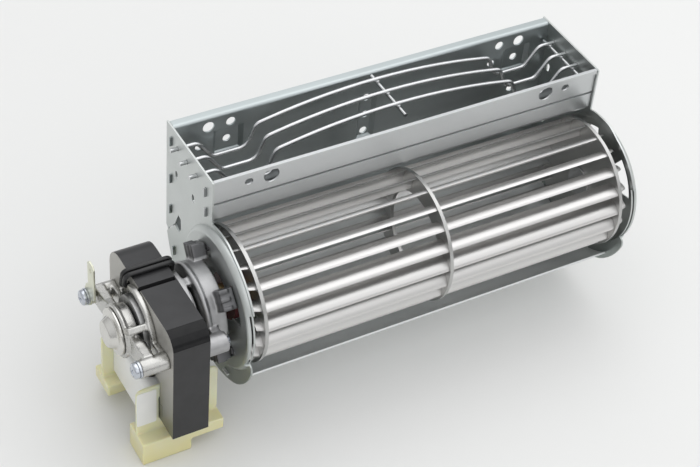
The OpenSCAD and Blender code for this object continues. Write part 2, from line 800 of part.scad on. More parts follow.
module coil_bobbin() {
    core_hole = [stack_t + 2 * seat_gap, coil_core_h + 2 * seat_gap];
    color("khaki") on_axis() translate([stack_mid, 0, 0]) {
        translate([0, 0, core_z]) {
            along_y(-flange_out, flange_out) ring_box(2 * spool_x, 2 * spool_z, 1, core_hole[0], core_hole[1]);
            for (side = [-1, 1])
                translate([0, side * (flange_out - bobbin_wall / 2), 0]) along_y(-bobbin_wall / 2, bobbin_wall / 2)
                    ring_box(2 * flange_half_x, 2 * flange_half_z, 3, core_hole[0], core_hole[1]);
        }
        for (side = [0, 180])
            rotate(side) difference() {
                translate([-flange_half_x, -foot_reach, foot_top - foot_h]) cube([flange_w, foot_l, foot_h]);
                translate([-flange_half_x + 3, -foot_reach + 3, foot_top - foot_h - 1])
                    cube([flange_w - 6, foot_l - 6, foot_h - 1]);
            }
        translate([-flange_half_x, -foot_reach, foot_top - foot_h - terminal_housing_h]) difference() {
            cube([housing_w, housing_depth, foot_h + terminal_housing_h]);
            for (k = [0, 1])
                translate([terminal_x[k], housing_depth / 2, -1])
                    translate([-terminal_pocket / 2, -terminal_pocket / 2, 0])
                        cube([terminal_pocket, terminal_pocket, terminal_housing_h]);
        }
    }
}

module coil_winding() {
    color("chocolate") on_axis() translate([stack_mid, 0, core_z]) along_y(-flange_in + seat_gap, flange_in - seat_gap)
        ring_box(2 * winding_half_x - 2 * wrap_t - 2 * seat_gap, 2 * winding_half_z - 2 * wrap_t - 2 * seat_gap, 3,
            2 * (spool_x + seat_gap), 2 * (spool_z + seat_gap));
}

// The insulating wrap around the winding
wrap_t = 0.4;
module coil_wrap() {
    color("white") on_axis() translate([stack_mid, 0, core_z]) along_y(-flange_in + seat_gap, flange_in - seat_gap)
        difference() {
            polygon(round_box(2 * winding_half_x, 2 * winding_half_z, 3));
            polygon(round_box(2 * (winding_half_x - wrap_t), 2 * (winding_half_z - wrap_t), 3 - wrap_t));
        }
}

// Two blade terminals in the housing under the bobbin's foot
housing_depth = foot_l;
terminal_pocket = 8.2;
terminal_x = [5.7, 16.3];
terminal_w = 6.3;
terminal_t = 0.8;

module coil_terminals() {
    roof_z = foot_top - foot_h - 1;
    color("silver") on_axis() translate([stack_mid - flange_half_x, -foot_reach + housing_depth / 2, 0])
        for (x = terminal_x)
            translate([x - terminal_w / 2, -terminal_t / 2, roof_z - terminal_housing_h + 1 - seat_gap])
                cube([terminal_w, terminal_t, terminal_housing_h - 1]);
}

// Outer bracket: a bridge with a bearing hub, arms to two posts and a ring on the stack
hub_r = 9.6;
hub_l = 6;
ring_out = 17.3;
ring_in = 14.9;
ring_t = 2.4;
arm_w = 10;
arm_t = 4;
hub_out = stack_out - outer_post_l + 0.6;
arm_back = 2.1;

module screw_pair() {
    for (place = screw_places)
        translate([0, place[0], place[1]]) children();
}

// A bracket's ring on the stack with a bar to each screw, broken where the shading rings leave the stack
module bracket_foot(x0, x1, bar_w) {
    along_x(x0, x1) difference() {
        union() {
            circle(r = ring_out);
            rotate(screw_tilt) square([2 * screw_y, bar_w], center = true);
        }
        circle(r = ring_in);
        for (side = [0, 180])
            rotate(side) sector(ring_out, 24, 62);
    }
}

// A bar across the axis towards the two screws
screw_tilt = -atan(screw_z / screw_y);
module arm_bar(x0, x1, length, width) {
    rotate([screw_tilt, 0, 0]) translate([x0, -length / 2, -width / 2]) cube([x1 - x0, length, width]);
}

module outer_bracket() {
    base = stack_out - seat_gap / 2;
    color("darkgray") on_axis() difference() {
        union() {
            rod_x(hub_out, hub_out + hub_l, hub_r);
            arm_bar(base - outer_post_l + arm_back, base - outer_post_l + arm_back + arm_t, 2 * screw_y, arm_w);
            screw_pair() rod_x(base - outer_post_l, base, outer_post_d / 2);
            bracket_foot(base - ring_t, base, outer_post_d - 1);
            for (a = [140, 320])
                rotate([a, 0, 0]) translate([base - outer_post_l + 1, hub_r - 1, -1.5])
                    strut(outer_post_l - 1, ring_out - hub_r + 0.4);
        }
        rod_x(hub_out - 1, base + 1, bush_r + seat_gap);
        screw_pair() rod_x(base - outer_post_l - 1, base + 1, screw_hole_r);
    }
}

// An L-shaped strut that drops from the hub to the ring, with its foot on the stack
module strut(drop, reach) {
    along = 3;
    cube([along, reach, 3]);
    translate([0, reach - 2.4, 0]) cube([drop, 2.4, 3]);
}

module outer_bush() {
    color("peru") on_axis() bush(hub_out + 0.5, hub_out + hub_l - 0.5);
}

// Bearing cap: a flanged cone of bright sheet over the hub's outer end
module outer_bearing_cap() {
    x1 = hub_out - seat_gap;
    color("lightgray") on_axis() about_x() difference() {
        polygon([[0, x1 - 4.6], [4.4, x1 - 4.6], [8.8, x1 - 1.2], [10.2, x1 - 1.2], [10.2, x1], [0, x1]]);
        polygon([[-1, x1 - 3.8], [3.9, x1 - 3.8], [7.6, x1 - 0.6], [7.6, x1 + 1], [-1, x1 + 1]]);
    }
}

// Inner bracket: a cup with a bearing hub, two posts, a ring on the stack and four lugs on the end plate
cup_end = -plate_out - 5.7;
cup_start = cup_end - cup_l;
cup_wall = 1.8;
web_t = 1.8;
inner_hub_r = 8.2;
inner_hub_in = -plate_in - 5.2;
lug_w = 9;
lug_out_r = 25;
lug_shift = 10;
lug_face = -dish_out - seat_gap;
hook_t = 1;
hook_r = [20.8, 23.8, 25.6];

module inner_bracket() {
    base = stack_in + seat_gap / 2;
    color("darkgray") on_axis() difference() {
        union() {
            tube_x(cup_start, cup_end, cup_r, cup_r - cup_wall);
            rod_x(cup_start, cup_start + web_t, cup_r - 0.5);
            rod_x(cup_start - 0.4, inner_hub_in, inner_hub_r);
            screw_pair() rod_x(base, base + inner_post_l, inner_post_d / 2);
            bracket_foot(base, base + ring_t, inner_post_d - 2);
            difference() {
                arm_bar(cup_start + 0.3, base + inner_post_l - 0.3, 2 * screw_y, inner_post_d - 2.4);
                rod_x(cup_start - 1, cup_end + 1, cup_r - 0.5);
            }
            for (a = [95, 275])
                rotate([a, 0, 0]) translate([base + 0.3, ring_in + 0.2, -2]) cube([cup_start - base + 0.7, 2, 4]);
            for (i = [0:3])
                rotate([window_angle + 90 * i - (i % 2) * lug_shift, 0, 0]) lug();
        }
        rod_x(cup_start - 2, inner_hub_in + 1, bush_r + seat_gap);
        screw_pair() rod_x(base - 1, base + inner_post_l + 1, screw_hole_r);
    }
}

// A lug with three ribs, and a hook that passes through a window and grips the plate's edge from inside
module lug() {
    back = lug_face - 6.2;
    translate([back, cup_r - 1, -lug_w / 2]) cube([lug_face - back, lug_out_r - cup_r + 1, lug_w]);
    for (k = [-1:1])
        translate([back - 0.1, cup_r - 1, k * 3.6 - 0.8]) cube([4, lug_out_r - cup_r + 1.6, 1.6]);
    translate([lug_face - 1, hook_r[0], -lug_w / 2 + 1])
        cube([dish_out - plate_in - dish_depth + 2 * seat_gap + hook_t + 1, hook_r[1] - hook_r[0], lug_w - 2]);
    translate([-plate_in - dish_depth + seat_gap, hook_r[0], -lug_w / 2 + 1])
        cube([hook_t, hook_r[2] - hook_r[0], lug_w - 2]);
}

module inner_bush() {
    color("peru") on_axis() bush(cup_start, inner_hub_in - 0.5);
}

// Screws that clamp the two brackets to the stack, with a washer under each head
head_h = 2.4;
washer_t = 0.8;
outer_face = stack_out - seat_gap / 2 - outer_post_l;
tab_t = 0.8;

module bracket_screws() {
    color("silver") on_axis() for (i = [0, 1])
        translate([0, screw_places[i][0], screw_places[i][1]]) {
            seat = outer_face - washer_t - 2 * seat_gap - (i == 1 ? tab_t + seat_gap : 0);
            difference() {
                union() {
                    rod_x(seat, stack_in + inner_post_l + 2, screw_d / 2);
                    about_x() polygon([[0, seat - head_h], [2.4, seat - head_h], [3.4, seat - head_h + 0.9], [3.4, seat], [0, seat]]);
                }
                for (a = [0, 90])
                    rotate([a + 35, 0, 0]) translate([seat - head_h - 1, -1.9, -0.4]) cube([2.2, 3.8, 0.8]);
            }
        }
}

module screw_washers() {
    color("silver") on_axis() for (i = [0, 1])
        translate([0, screw_places[i][0], screw_places[i][1]]) {
            x1 = outer_face - seat_gap - (i == 1 ? tab_t + seat_gap : 0);
            tube_x(x1 - washer_t, x1, 3.7, screw_hole_r);
        }
}

// Earth tab: a flat blade held under the rear screw's head
tab_blade_w = 6.3;
tab_blade_top = 22;

module earth_tab() {
    x1 = outer_face - seat_gap;
    color("lightgoldenrodyellow") on_axis() along_x(x1 - tab_t, x1) difference() {
        union() {
            translate(screw_places[1]) circle(r = 3.9);
            polygon([
                [screw_y - 7.6, -1], [screw_y + 3, -screw_z - 1], [screw_y + 1, 4],
                [screw_y - 1.3, 6], [screw_y - 1.3, tab_blade_top - 1.5], [screw_y - 2.8, tab_blade_top],
                [screw_y - 6.1, tab_blade_top], [screw_y - 7.6, tab_blade_top - 1.5]
            ]);
        }
        translate(screw_places[1]) circle(r = screw_hole_r);
        translate([screw_y - 4.45, tab_blade_top - 4]) circle(r = 0.8);
    }
}

// Rotor: laminated core with skewed bars shown as its cast end rings
rotor_r = bore_r - air_gap;
cage_inner_r = 8.4;

cage_outer_r = rotor_r - 0.5;
bar_count = 14;
bar_r = 1.2;
bar_circle_r = cage_outer_r - bar_r - 0.3;

module bar_places() {
    for (i = [0:bar_count - 1])
        rotate([360 * i / bar_count, 0, 0]) translate([0, bar_circle_r, 0]) children();
}

module rotor_core() {
    color("slategray") on_axis() difference() {
        tube_x(stack_out, stack_in, rotor_r, shaft_d / 2 + seat_gap / 2);
        bar_places() rod_x(stack_out - 1, stack_in + 1, bar_r + seat_gap / 2);
    }
}

module rotor_cage() {
    color("lightgray") on_axis() {
        tube_x(stack_out - end_ring_h, stack_out - seat_gap, cage_outer_r, cage_inner_r);
        tube_x(stack_in + seat_gap, stack_in + end_ring_h, cage_outer_r, cage_inner_r);
        bar_places() rod_x(stack_out - 1, stack_in + 1, bar_r);
    }
}

module motor_shaft() {
    shaft_end = hub_out + 0.6;
    groove_x = hub_out + hub_l + 0.6;
    color("silver") on_axis() difference() {
        union() {
            rod_x(shaft_end, -disc_x + 4, shaft_d / 2);
            for (x = [groove_x, cup_start - 1.6])
                tube_x(x, x + 1, bush_r - 1.4, shaft_d / 2 - 0.2);
        }
        translate([-plate_in + 1, -4, shaft_d / 2 - 0.5]) cube([20, 8, 2]);
    }
}

// Drive hub: a metal sleeve on the shaft in a soft rubber body that grips the end disc
hub_sleeve_r = 5.6;
hub_rubber_r = 10.4;
hub_neck_r = 8.2;
hub_out_x = -plate_in - 2.2;
hub_in_x = -disc_x + disc_t / 2 + 2.6;

module drive_hub_sleeve() {
    color("darkkhaki") on_axis() tube_x(hub_out_x, hub_in_x, hub_sleeve_r, shaft_d / 2 + seat_gap / 2);
}

module drive_hub_rubber() {
    color("firebrick") on_axis() about_x() difference() {
        union() {
            translate([0, hub_out_x + 3]) square([hub_rubber_r, -disc_x - disc_t / 2 - seat_gap - hub_out_x - 3]);
            translate([0, -disc_x - disc_t / 2 - 1]) square([hub_neck_r - seat_gap, disc_t + 2]);
            translate([0, -disc_x + disc_t / 2 + seat_gap]) square([hub_rubber_r - 1, 2.4]);
        }
        translate([-1, hub_out_x - 1]) square([hub_sleeve_r + seat_gap / 2 + 1, hub_in_x - hub_out_x + 2]);
    }
}

// Wheel: curved blades through slots in three discs
blade_outer_r = wheel_d / 2 - disc_rim;
blade_inner_r = blade_outer_r - blade_h;
blade_centre_r = norm([blade_inner_r, blade_curve_r]);

// One blade's section: the arc that leaves the inner radius square to it and leans forward as it goes out
module blade_outline(grow) {
    intersection() {
        difference() {
            circle(r = blade_outer_r + grow);
            circle(r = blade_inner_r - grow);
        }
        translate([blade_centre_r, 0]) difference() {
            circle(r = blade_curve_r + blade_t / 2 + grow);
            circle(r = blade_curve_r - blade_t / 2 - grow);
        }
        translate([0, -wheel_d / 2]) square([wheel_d, wheel_d / 2]);
    }
}

module wheel_disc(x, hole_r) {
    along_x(x - disc_t / 2, x + disc_t / 2) difference() {
        circle(r = wheel_d / 2);
        circle(r = hole_r);
        for (i = [1:blade_count])
            rotate(360 * (i - 1) / blade_count) blade_outline(seat_gap / 2);
    }
}

module wheel_disc_motor_end() {
    color("lightgray") on_axis() wheel_disc(-disc_x, hub_neck_r);
}

module wheel_disc_middle() {
    color("lightgray") on_axis() wheel_disc(0, middle_disc_r);
}

module wheel_disc_bearing_end() {
    color("lightgray") on_axis() wheel_disc(disc_x, stub_neck_r + seat_gap / 2);
}

module blade(i) {
    color("gainsboro") on_axis() along_x(-blade_l / 2, blade_l / 2)
        rotate(360 * (i - 1) / blade_count) blade_outline(0);
}

// Stub shaft: a turned flange riveted in the end disc, with the journal that runs in the end bearing
stub_neck_r = 5;
stub_flange_r = 9;

module stub_shaft() {
    face = disc_x + disc_t / 2;
    color("silver") on_axis() about_x() polygon([
        [0, face - disc_t - seat_gap - 1], [stub_flange_r - 2, face - disc_t - seat_gap - 1],
        [stub_flange_r - 2, face - disc_t - seat_gap], [stub_neck_r, face - disc_t - seat_gap],
        [stub_neck_r, face + seat_gap], [stub_flange_r, face + seat_gap], [stub_flange_r, face + 2],
        [shaft_d / 2 + 1.4, face + 2], [shaft_d / 2 + 1.4, bearing_x - 0.3], [shaft_d / 2, bearing_x - 0.3],
        [shaft_d / 2, bearing_x + bearing_l + 0.6], [shaft_d / 2 - 0.5, bearing_x + bearing_l + 1.1],
        [0, bearing_x + bearing_l + 1.1]
    ]);
}

scroll_sheet();
outlet_front_panel();
tongue_sheet();
motor_end_plate();
bearing_end_plate();
guard_wire_rear();
guard_wire_middle();
guard_wire_front();
for (i = [1:cross_wire_count])
    guard_cross_wire(i);
bearing_bush();
bearing_rubber_mount();
stator_core();
coil_core();
for (i = [1:shading_ring_count])
    shading_ring(i);
coil_bobbin();
coil_winding();
coil_wrap();
coil_terminals();
outer_bracket();
outer_bearing_cap();
inner_bracket();
outer_bush();
inner_bush();
bracket_screws();
screw_washers();
earth_tab();
rotor_core();
rotor_cage();
motor_shaft();
drive_hub_rubber();
drive_hub_sleeve();
wheel_disc_motor_end();
wheel_disc_middle();
wheel_disc_bearing_end();
stub_shaft();
for (i = [1:blade_count])
    blade(i);
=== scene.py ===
"""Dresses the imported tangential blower: its camera, light, finishes and finely made pieces."""
import json
import math

import bmesh
import bpy
from mathutils import Matrix, Vector
from mathutils.geometry import convex_hull_2d

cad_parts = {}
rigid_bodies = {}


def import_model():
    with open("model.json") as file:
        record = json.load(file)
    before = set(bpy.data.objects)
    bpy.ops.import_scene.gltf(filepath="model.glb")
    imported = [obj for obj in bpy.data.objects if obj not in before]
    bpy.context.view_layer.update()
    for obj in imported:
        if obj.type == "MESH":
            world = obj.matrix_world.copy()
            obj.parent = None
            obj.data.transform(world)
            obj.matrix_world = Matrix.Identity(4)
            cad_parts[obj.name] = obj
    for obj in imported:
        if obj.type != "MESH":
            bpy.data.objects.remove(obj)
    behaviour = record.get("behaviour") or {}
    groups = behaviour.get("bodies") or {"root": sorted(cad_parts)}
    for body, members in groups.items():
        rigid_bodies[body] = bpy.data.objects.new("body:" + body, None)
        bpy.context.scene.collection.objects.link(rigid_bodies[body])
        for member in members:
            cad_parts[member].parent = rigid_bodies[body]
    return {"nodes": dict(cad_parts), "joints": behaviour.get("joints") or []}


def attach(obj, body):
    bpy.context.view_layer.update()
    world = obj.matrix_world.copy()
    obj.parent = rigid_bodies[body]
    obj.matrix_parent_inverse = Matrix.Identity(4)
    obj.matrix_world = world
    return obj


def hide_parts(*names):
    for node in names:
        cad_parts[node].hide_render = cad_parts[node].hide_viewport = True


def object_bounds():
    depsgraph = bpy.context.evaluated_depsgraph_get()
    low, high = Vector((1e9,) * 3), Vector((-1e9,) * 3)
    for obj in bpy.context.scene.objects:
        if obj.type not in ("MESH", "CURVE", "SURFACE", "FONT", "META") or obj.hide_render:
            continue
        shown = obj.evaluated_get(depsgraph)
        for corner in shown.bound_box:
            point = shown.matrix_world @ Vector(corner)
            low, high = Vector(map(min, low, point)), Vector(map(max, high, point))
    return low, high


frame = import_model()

CAD_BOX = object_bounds()
MM = 0.001
NODES = frame["nodes"]
HOUSING, IMPELLER = "housing", "impeller"

# The wheel's axis, as the joint says. The pieces' sizes are in millimetres about it, and the camera,
# the lamps and the finishes are in the frame's metres.
AXIS = Vector(frame["joints"][0]["pos_m"])
BLADES = sorted(name for name in NODES if name.startswith("blade_"))


def at(x, y, z):
    """A point given in millimetres about the wheel's axis, in the frame's metres."""
    return Vector((x * MM, y * MM + AXIS.y, z * MM + AXIS.z))


# Camera and stage

PHOTO_WIDTH_PX = 700
FOCAL_PX = 1753.5
SENSOR_WIDTH = 36
CAMERA_PLACE = (-0.32779, -0.50776, 0.45909)
CAMERA_RIGHT = (0.87332, -0.48164, 0.07308)
CAMERA_AHEAD = (0.39995, 0.62322, -0.67204)


def set_camera():
    """Puts the camera where the photograph was taken from."""
    right = Vector(CAMERA_RIGHT).normalized()
    back = -Vector(CAMERA_AHEAD).normalized()
    up = back.cross(right).normalized()
    turn = Matrix((right, up, back)).transposed().to_4x4()
    data = bpy.data.cameras.new("camera")
    data.sensor_width = SENSOR_WIDTH
    data.lens = FOCAL_PX / PHOTO_WIDTH_PX * data.sensor_width
    data.clip_start = 0.01
    camera = bpy.data.objects.new("camera", data)
    camera.matrix_world = Matrix.Translation(CAMERA_PLACE) @ turn
    bpy.context.collection.objects.link(camera)
    bpy.context.scene.camera = camera


# Each soft box: its name, place, size and radiance
SOFT_BOXES = (
    ("overhead_box", (0.35, 0.2, 1.2), (1.9, 1.5), 0.95),
    ("front_box", (-0.1, -1.3, 0.9), (2.2, 1.2), 0.47),
    ("right_box", (1.3, -0.5, 0.6), (1.2, 1.2), 0.44),
)


def soft_box(name, place, size, radiance):
    """Hangs a soft box at place, turned to the blower's middle."""
    data = bpy.data.lights.new(name, "AREA")
    data.shape = "RECTANGLE"
    data.size, data.size_y = size
    data.energy = math.pi * size[0] * size[1] * radiance
    light = bpy.data.objects.new(name, data)
    light.location = place
    light.rotation_euler = (Vector((0, AXIS.y, AXIS.z)) - Vector(place)).to_track_quat("-Z", "Y").to_euler()
    bpy.context.collection.objects.link(light)


ROOM_COLOUR = (0.98, 0.99, 1, 1)
ROOM_AT_HORIZON, ROOM_ABOVE, ROOM_FULL_HEIGHT = 0.50, 0.80, 0.85


def set_world():
    """An even room, bright above and dimmer towards the horizon."""
    world = bpy.data.worlds.new("pale_room")
    world.use_nodes = True
    nodes, links = world.node_tree.nodes, world.node_tree.links
    toward = nodes.new("ShaderNodeTexCoord")
    split = nodes.new("ShaderNodeSeparateXYZ")
    links.new(toward.outputs["Generated"], split.inputs[0])
    ramp = nodes.new("ShaderNodeMapRange")
    ramp.interpolation_type = "SMOOTHSTEP"
    for label, value in (("From Min", 0), ("From Max", ROOM_FULL_HEIGHT),
                         ("To Min", ROOM_AT_HORIZON), ("To Max", ROOM_ABOVE)):
        ramp.inputs[label].default_value = value
    links.new(split.outputs["Z"], ramp.inputs["Value"])
    room = nodes["Background"]
    room.inputs["Color"].default_value = ROOM_COLOUR
    links.new(ramp.outputs["Result"], room.inputs["Strength"])
    bpy.context.scene.world = world


FLOOR_REACH = 3.0
FLOOR_COLOUR = (0.80, 0.80, 0.79, 1)


def lay_floor():
    """A pale floor under the lowest point of the blower."""
    mesh = bpy.data.meshes.new("floor")
    z = CAD_BOX[0][2]
    corners = [(x * FLOOR_REACH, y * FLOOR_REACH, z) for x, y in ((-1, -1), (1, -1), (1, 1), (-1, 1))]
    mesh.from_pydata(corners, [], [(0, 1, 2, 3)])
    floor = bpy.data.objects.new("floor", mesh)
    bpy.context.collection.objects.link(floor)
    paper = bpy.data.materials.new("floor_paper")
    paper.use_nodes = True
    shader = paper.node_tree.nodes["Principled BSDF"]
    shader.inputs["Base Color"].default_value = FLOOR_COLOUR
    shader.inputs["Roughness"].default_value = 0.8
    mesh.materials.append(paper)


# Shared effects

FLOAT, COLOUR, VECTOR = "NodeSocketFloat", "NodeSocketColor", "NodeSocketVector"


def add_inputs(tree, inputs):
    """Gives a node group its named inputs, each with its kind and first value."""
    for label, kind, value in inputs:
        socket = tree.interface.new_socket(name=label, in_out="INPUT", socket_type=kind)
        if value is not None:
            socket.default_value = value


def effect(name, inputs, outputs):
    """Starts a shader node group with named inputs and outputs, and returns it with its two ends."""
    tree = bpy.data.node_groups.new(name, "ShaderNodeTree")
    add_inputs(tree, inputs)
    for label, kind in outputs:
        tree.interface.new_socket(name=label, in_out="OUTPUT", socket_type=kind)
    return tree, tree.nodes.new("NodeGroupInput").outputs, tree.nodes.new("NodeGroupOutput").inputs


def math_node(tree, operation, *values, clamp=False):
    """Adds a Math node; each value is a number or a socket."""
    node = tree.nodes.new("ShaderNodeMath")
    node.operation = operation
    node.use_clamp = clamp
    for socket, value in zip(node.inputs, values):
        if isinstance(value, (int, float)):
            socket.default_value = value
        else:
            tree.links.new(value, socket)
    return node.outputs[0]


def mix_colours(tree, share, first, second):
    """Mixes two colours; each value is written out or comes from a socket."""
    node = tree.nodes.new("ShaderNodeMix")
    node.data_type = "RGBA"
    for socket, value in ((node.inputs[0], share), (node.inputs[6], first), (node.inputs[7], second)):
        if isinstance(value, (int, float, tuple)):
            socket.default_value = value
        else:
            tree.links.new(value, socket)
    return node.outputs[2]


def along_axes(tree, vector):
    """Splits a vector into its X, Y and Z."""
    split = tree.nodes.new("ShaderNodeSeparateXYZ")
    tree.links.new(vector, split.inputs[0])
    return split.outputs


def noise(tree, vector, scale, detail):
    """Adds noise; its scale is a number or a socket."""
    node = tree.nodes.new("ShaderNodeTexNoise")
    tree.links.new(vector, node.inputs["Vector"])
    if isinstance(scale, (int, float)):
        node.inputs["Scale"].default_value = scale
    else:
        tree.links.new(scale, node.inputs["Scale"])
    node.inputs["Detail"].default_value = detail
    node.inputs["Roughness"].default_value = 0.55
    return node.outputs["Fac"]


def build_mottle():
    """Patches of a second colour and of duller skin, as on handled metal."""
    tree, inputs, end = effect("mottle", [
        ("Place", VECTOR, None), ("Colour", COLOUR, (0.8, 0.8, 0.8, 1)),
        ("Patch colour", COLOUR, (0.6, 0.6, 0.6, 1)),
        ("Patches per metre", FLOAT, 80.0), ("Patch strength", FLOAT, 0.5),
        ("Roughness", FLOAT, 0.4), ("Roughness spread", FLOAT, 0.2),
    ], [("Colour", COLOUR), ("Roughness", FLOAT)])
    patches = noise(tree, inputs["Place"], inputs["Patches per metre"], 4.0)
    sharp = math_node(tree, "MULTIPLY_ADD", patches, 3.0, -1.0, clamp=True)
    share = math_node(tree, "MULTIPLY", sharp, inputs["Patch strength"])
    tree.links.new(mix_colours(tree, share, inputs["Colour"], inputs["Patch colour"]), end["Colour"])
    smears = noise(tree, inputs["Place"], math_node(tree, "MULTIPLY", inputs["Patches per metre"], 2.3), 5.0)
    centred = math_node(tree, "SUBTRACT", smears, 0.5)
    spread = math_node(tree, "MULTIPLY", centred, inputs["Roughness spread"])
    tree.links.new(math_node(tree, "ADD", spread, inputs["Roughness"], clamp=True), end["Roughness"])
    return tree


def build_grain():
    """The height of fine grain, drawn out along the rolling direction by the Place that comes in."""
    tree, inputs, end = effect("grain", [
        ("Place", VECTOR, None), ("Grains per metre", FLOAT, 3000.0),
    ], [("Height", FLOAT)])
    fine = noise(tree, inputs["Place"], inputs["Grains per metre"], 2.0)
    coarse = noise(tree, inputs["Place"], math_node(tree, "MULTIPLY", inputs["Grains per metre"], 0.2), 2.0)
    tree.links.new(math_node(tree, "MULTIPLY_ADD", coarse, 1.5, fine), end["Height"])
    return tree


def build_sheet_lines():
    """Thin lines across X, one for each sheet of a laminated stack."""
    tree, inputs, end = effect("sheet_lines", [
        ("Place", VECTOR, None), ("Sheets per metre", FLOAT, 2000.0), ("Line share", FLOAT, 0.25),
    ], [("Lines", FLOAT)])
    along = along_axes(tree, inputs["Place"])["X"]
    phase = math_node(tree, "FRACT", math_node(tree, "MULTIPLY", along, inputs["Sheets per metre"]))
    tree.links.new(math_node(tree, "LESS_THAN", phase, inputs["Line share"]), end["Lines"])
    return tree


def build_depth_shade():
    """How far a point lies from one height to another, from 0 to 1, with a wavering edge."""
    tree, inputs, end = effect("depth_shade", [
        ("Place", VECTOR, None), ("From height", FLOAT, 0.0), ("To height", FLOAT, 1.0),
        ("Waver", FLOAT, 0.1),
    ], [("Share", FLOAT)])
    gone = math_node(tree, "SUBTRACT", along_axes(tree, inputs["Place"])["Z"], inputs["From height"])
    whole = math_node(tree, "SUBTRACT", inputs["To height"], inputs["From height"])
    cloud = math_node(tree, "SUBTRACT", noise(tree, inputs["Place"], 90, 3.0), 0.5)
    waver = math_node(tree, "MULTIPLY", cloud, inputs["Waver"])
    share = math_node(tree, "ADD", math_node(tree, "DIVIDE", gone, whole), waver, clamp=True)
    tree.links.new(share, end["Share"])
    return tree


def build_edge_wear():
    """Where a casting's edges are rubbed bright, broken up by noise."""
    tree, inputs, end = effect("edge_wear", [
        ("Place", VECTOR, None), ("Edge from", FLOAT, 0.52), ("Break up", FLOAT, 0.4),
    ], [("Wear", FLOAT)])
    shape = tree.nodes.new("ShaderNodeNewGeometry")
    past = math_node(tree, "SUBTRACT", shape.outputs["Pointiness"], inputs["Edge from"])
    edge = math_node(tree, "MULTIPLY", past, 14.0, clamp=True)
    broken = math_node(tree, "MULTIPLY", noise(tree, inputs["Place"], 700, 3.0), inputs["Break up"])
    tree.links.new(math_node(tree, "SUBTRACT", edge, broken, clamp=True), end["Wear"])
    return tree


def build_outer_zone():
    """1 beyond a radius about a line along X, and beyond a height above or below it."""
    tree, inputs, end = effect("outer_zone", [
        ("Place", VECTOR, None), ("Middle y", FLOAT, 0.0), ("Middle z", FLOAT, 0.0),
        ("Beyond radius", FLOAT, 0.02), ("Beyond height", FLOAT, 0.01), ("Blur", FLOAT, 0.0006),
    ], [("Mask", FLOAT)])
    place = along_axes(tree, inputs["Place"])
    y = math_node(tree, "SUBTRACT", place["Y"], inputs["Middle y"])
    z = math_node(tree, "SUBTRACT", place["Z"], inputs["Middle z"])
    squares = math_node(tree, "ADD", math_node(tree, "MULTIPLY", y, y), math_node(tree, "MULTIPLY", z, z))
    past_radius = math_node(tree, "SUBTRACT", math_node(tree, "SQRT", squares), inputs["Beyond radius"])
    past_height = math_node(tree, "SUBTRACT", math_node(tree, "ABSOLUTE", z), inputs["Beyond height"])
    masks = [math_node(tree, "DIVIDE", past, inputs["Blur"], clamp=True)
             for past in (past_radius, past_height)]
    tree.links.new(math_node(tree, "MULTIPLY", *masks), end["Mask"])
    return tree


MOTTLE, GRAIN, SHEET_LINES = build_mottle(), build_grain(), build_sheet_lines()
DEPTH_SHADE, EDGE_WEAR, OUTER_ZONE = build_depth_shade(), build_edge_wear(), build_outer_zone()


# Finishes

class Finish:
    """A material in the making: its tree, its shader and the place that its patterns read."""

    def __init__(self, name, metallic=0.0, stretch=(1, 1, 1)):
        self.material = bpy.data.materials.new(name)
        self.material.use_nodes = True
        self.tree = self.material.node_tree
        self.shader = self.tree.nodes["Principled BSDF"]
        self.shader.inputs["Metallic"].default_value = metallic
        place = self.tree.nodes.new("ShaderNodeTexCoord")
        mapping = self.tree.nodes.new("ShaderNodeMapping")
        mapping.inputs["Scale"].default_value = stretch
        self.tree.links.new(place.outputs["Object"], mapping.inputs["Vector"])
        self.place = mapping.outputs["Vector"]
        self.true_place = place.outputs["Object"]

    def add(self, group, place=None, **values):
        """Places a shared effect; underscores in the names of its values stand for blanks."""
        node = self.tree.nodes.new("ShaderNodeGroup")
        node.node_tree = group
        self.tree.links.new(place or self.place, node.inputs["Place"])
        for label, value in values.items():
            socket = node.inputs[label.replace("_", " ")]
            if hasattr(value, "is_output"):
                self.tree.links.new(value, socket)
            else:
                socket.default_value = (*value, 1) if isinstance(value, tuple) else value
        return node.outputs

    def mottle(self, colour, patch, per_metre, strength, roughness, spread):
        """Two colours in patches, with a roughness that varies."""
        out = self.add(MOTTLE, Colour=colour, Patch_colour=patch, Patches_per_metre=per_metre,
                       Patch_strength=strength, Roughness=roughness, Roughness_spread=spread)
        self.tree.links.new(out["Roughness"], self.shader.inputs["Roughness"])
        return self.colour(out["Colour"])

    def colour(self, socket):
        """Feeds the shader's colour."""
        self.tree.links.new(socket, self.shader.inputs["Base Color"])
        return socket

    def tint(self, socket, mask, colour, strength=1.0):
        """Mixes a colour over what comes in, by a mask."""
        share = math_node(self.tree, "MULTIPLY", mask, strength)
        return self.colour(mix_colours(self.tree, share, socket, (*colour, 1)))

    def depth(self, first, last, waver):
        """How far a point lies from one height about the wheel's axis to another, from 0 to 1."""
        return self.add(DEPTH_SHADE, place=self.true_place, From_height=AXIS.z + first,
                        To_height=AXIS.z + last, Waver=waver)["Share"]

    def skin(self, per_metre, depth, strength):
        """Raises the surface by its grain."""
        out = self.add(GRAIN, Grains_per_metre=per_metre)
        bump = self.tree.nodes.new("ShaderNodeBump")
        bump.inputs["Strength"].default_value = strength
        bump.inputs["Distance"].default_value = depth
        self.tree.links.new(out["Height"], bump.inputs["Height"])
        self.tree.links.new(bump.outputs["Normal"], self.shader.inputs["Normal"])

    def facing(self, axis):
        """How squarely the surface faces along an axis, from 0 to 1."""
        geometry = self.tree.nodes.new("ShaderNodeNewGeometry")
        return math_node(self.tree, "ABSOLUTE", along_axes(self.tree, geometry.outputs["Normal"])[axis])


# A pattern's scale along X, Y and Z; below 1 draws its grain out
SHEET_STRETCH = (0.35, 1, 1)
BLADE_STRETCH = (0.05, 1, 1)


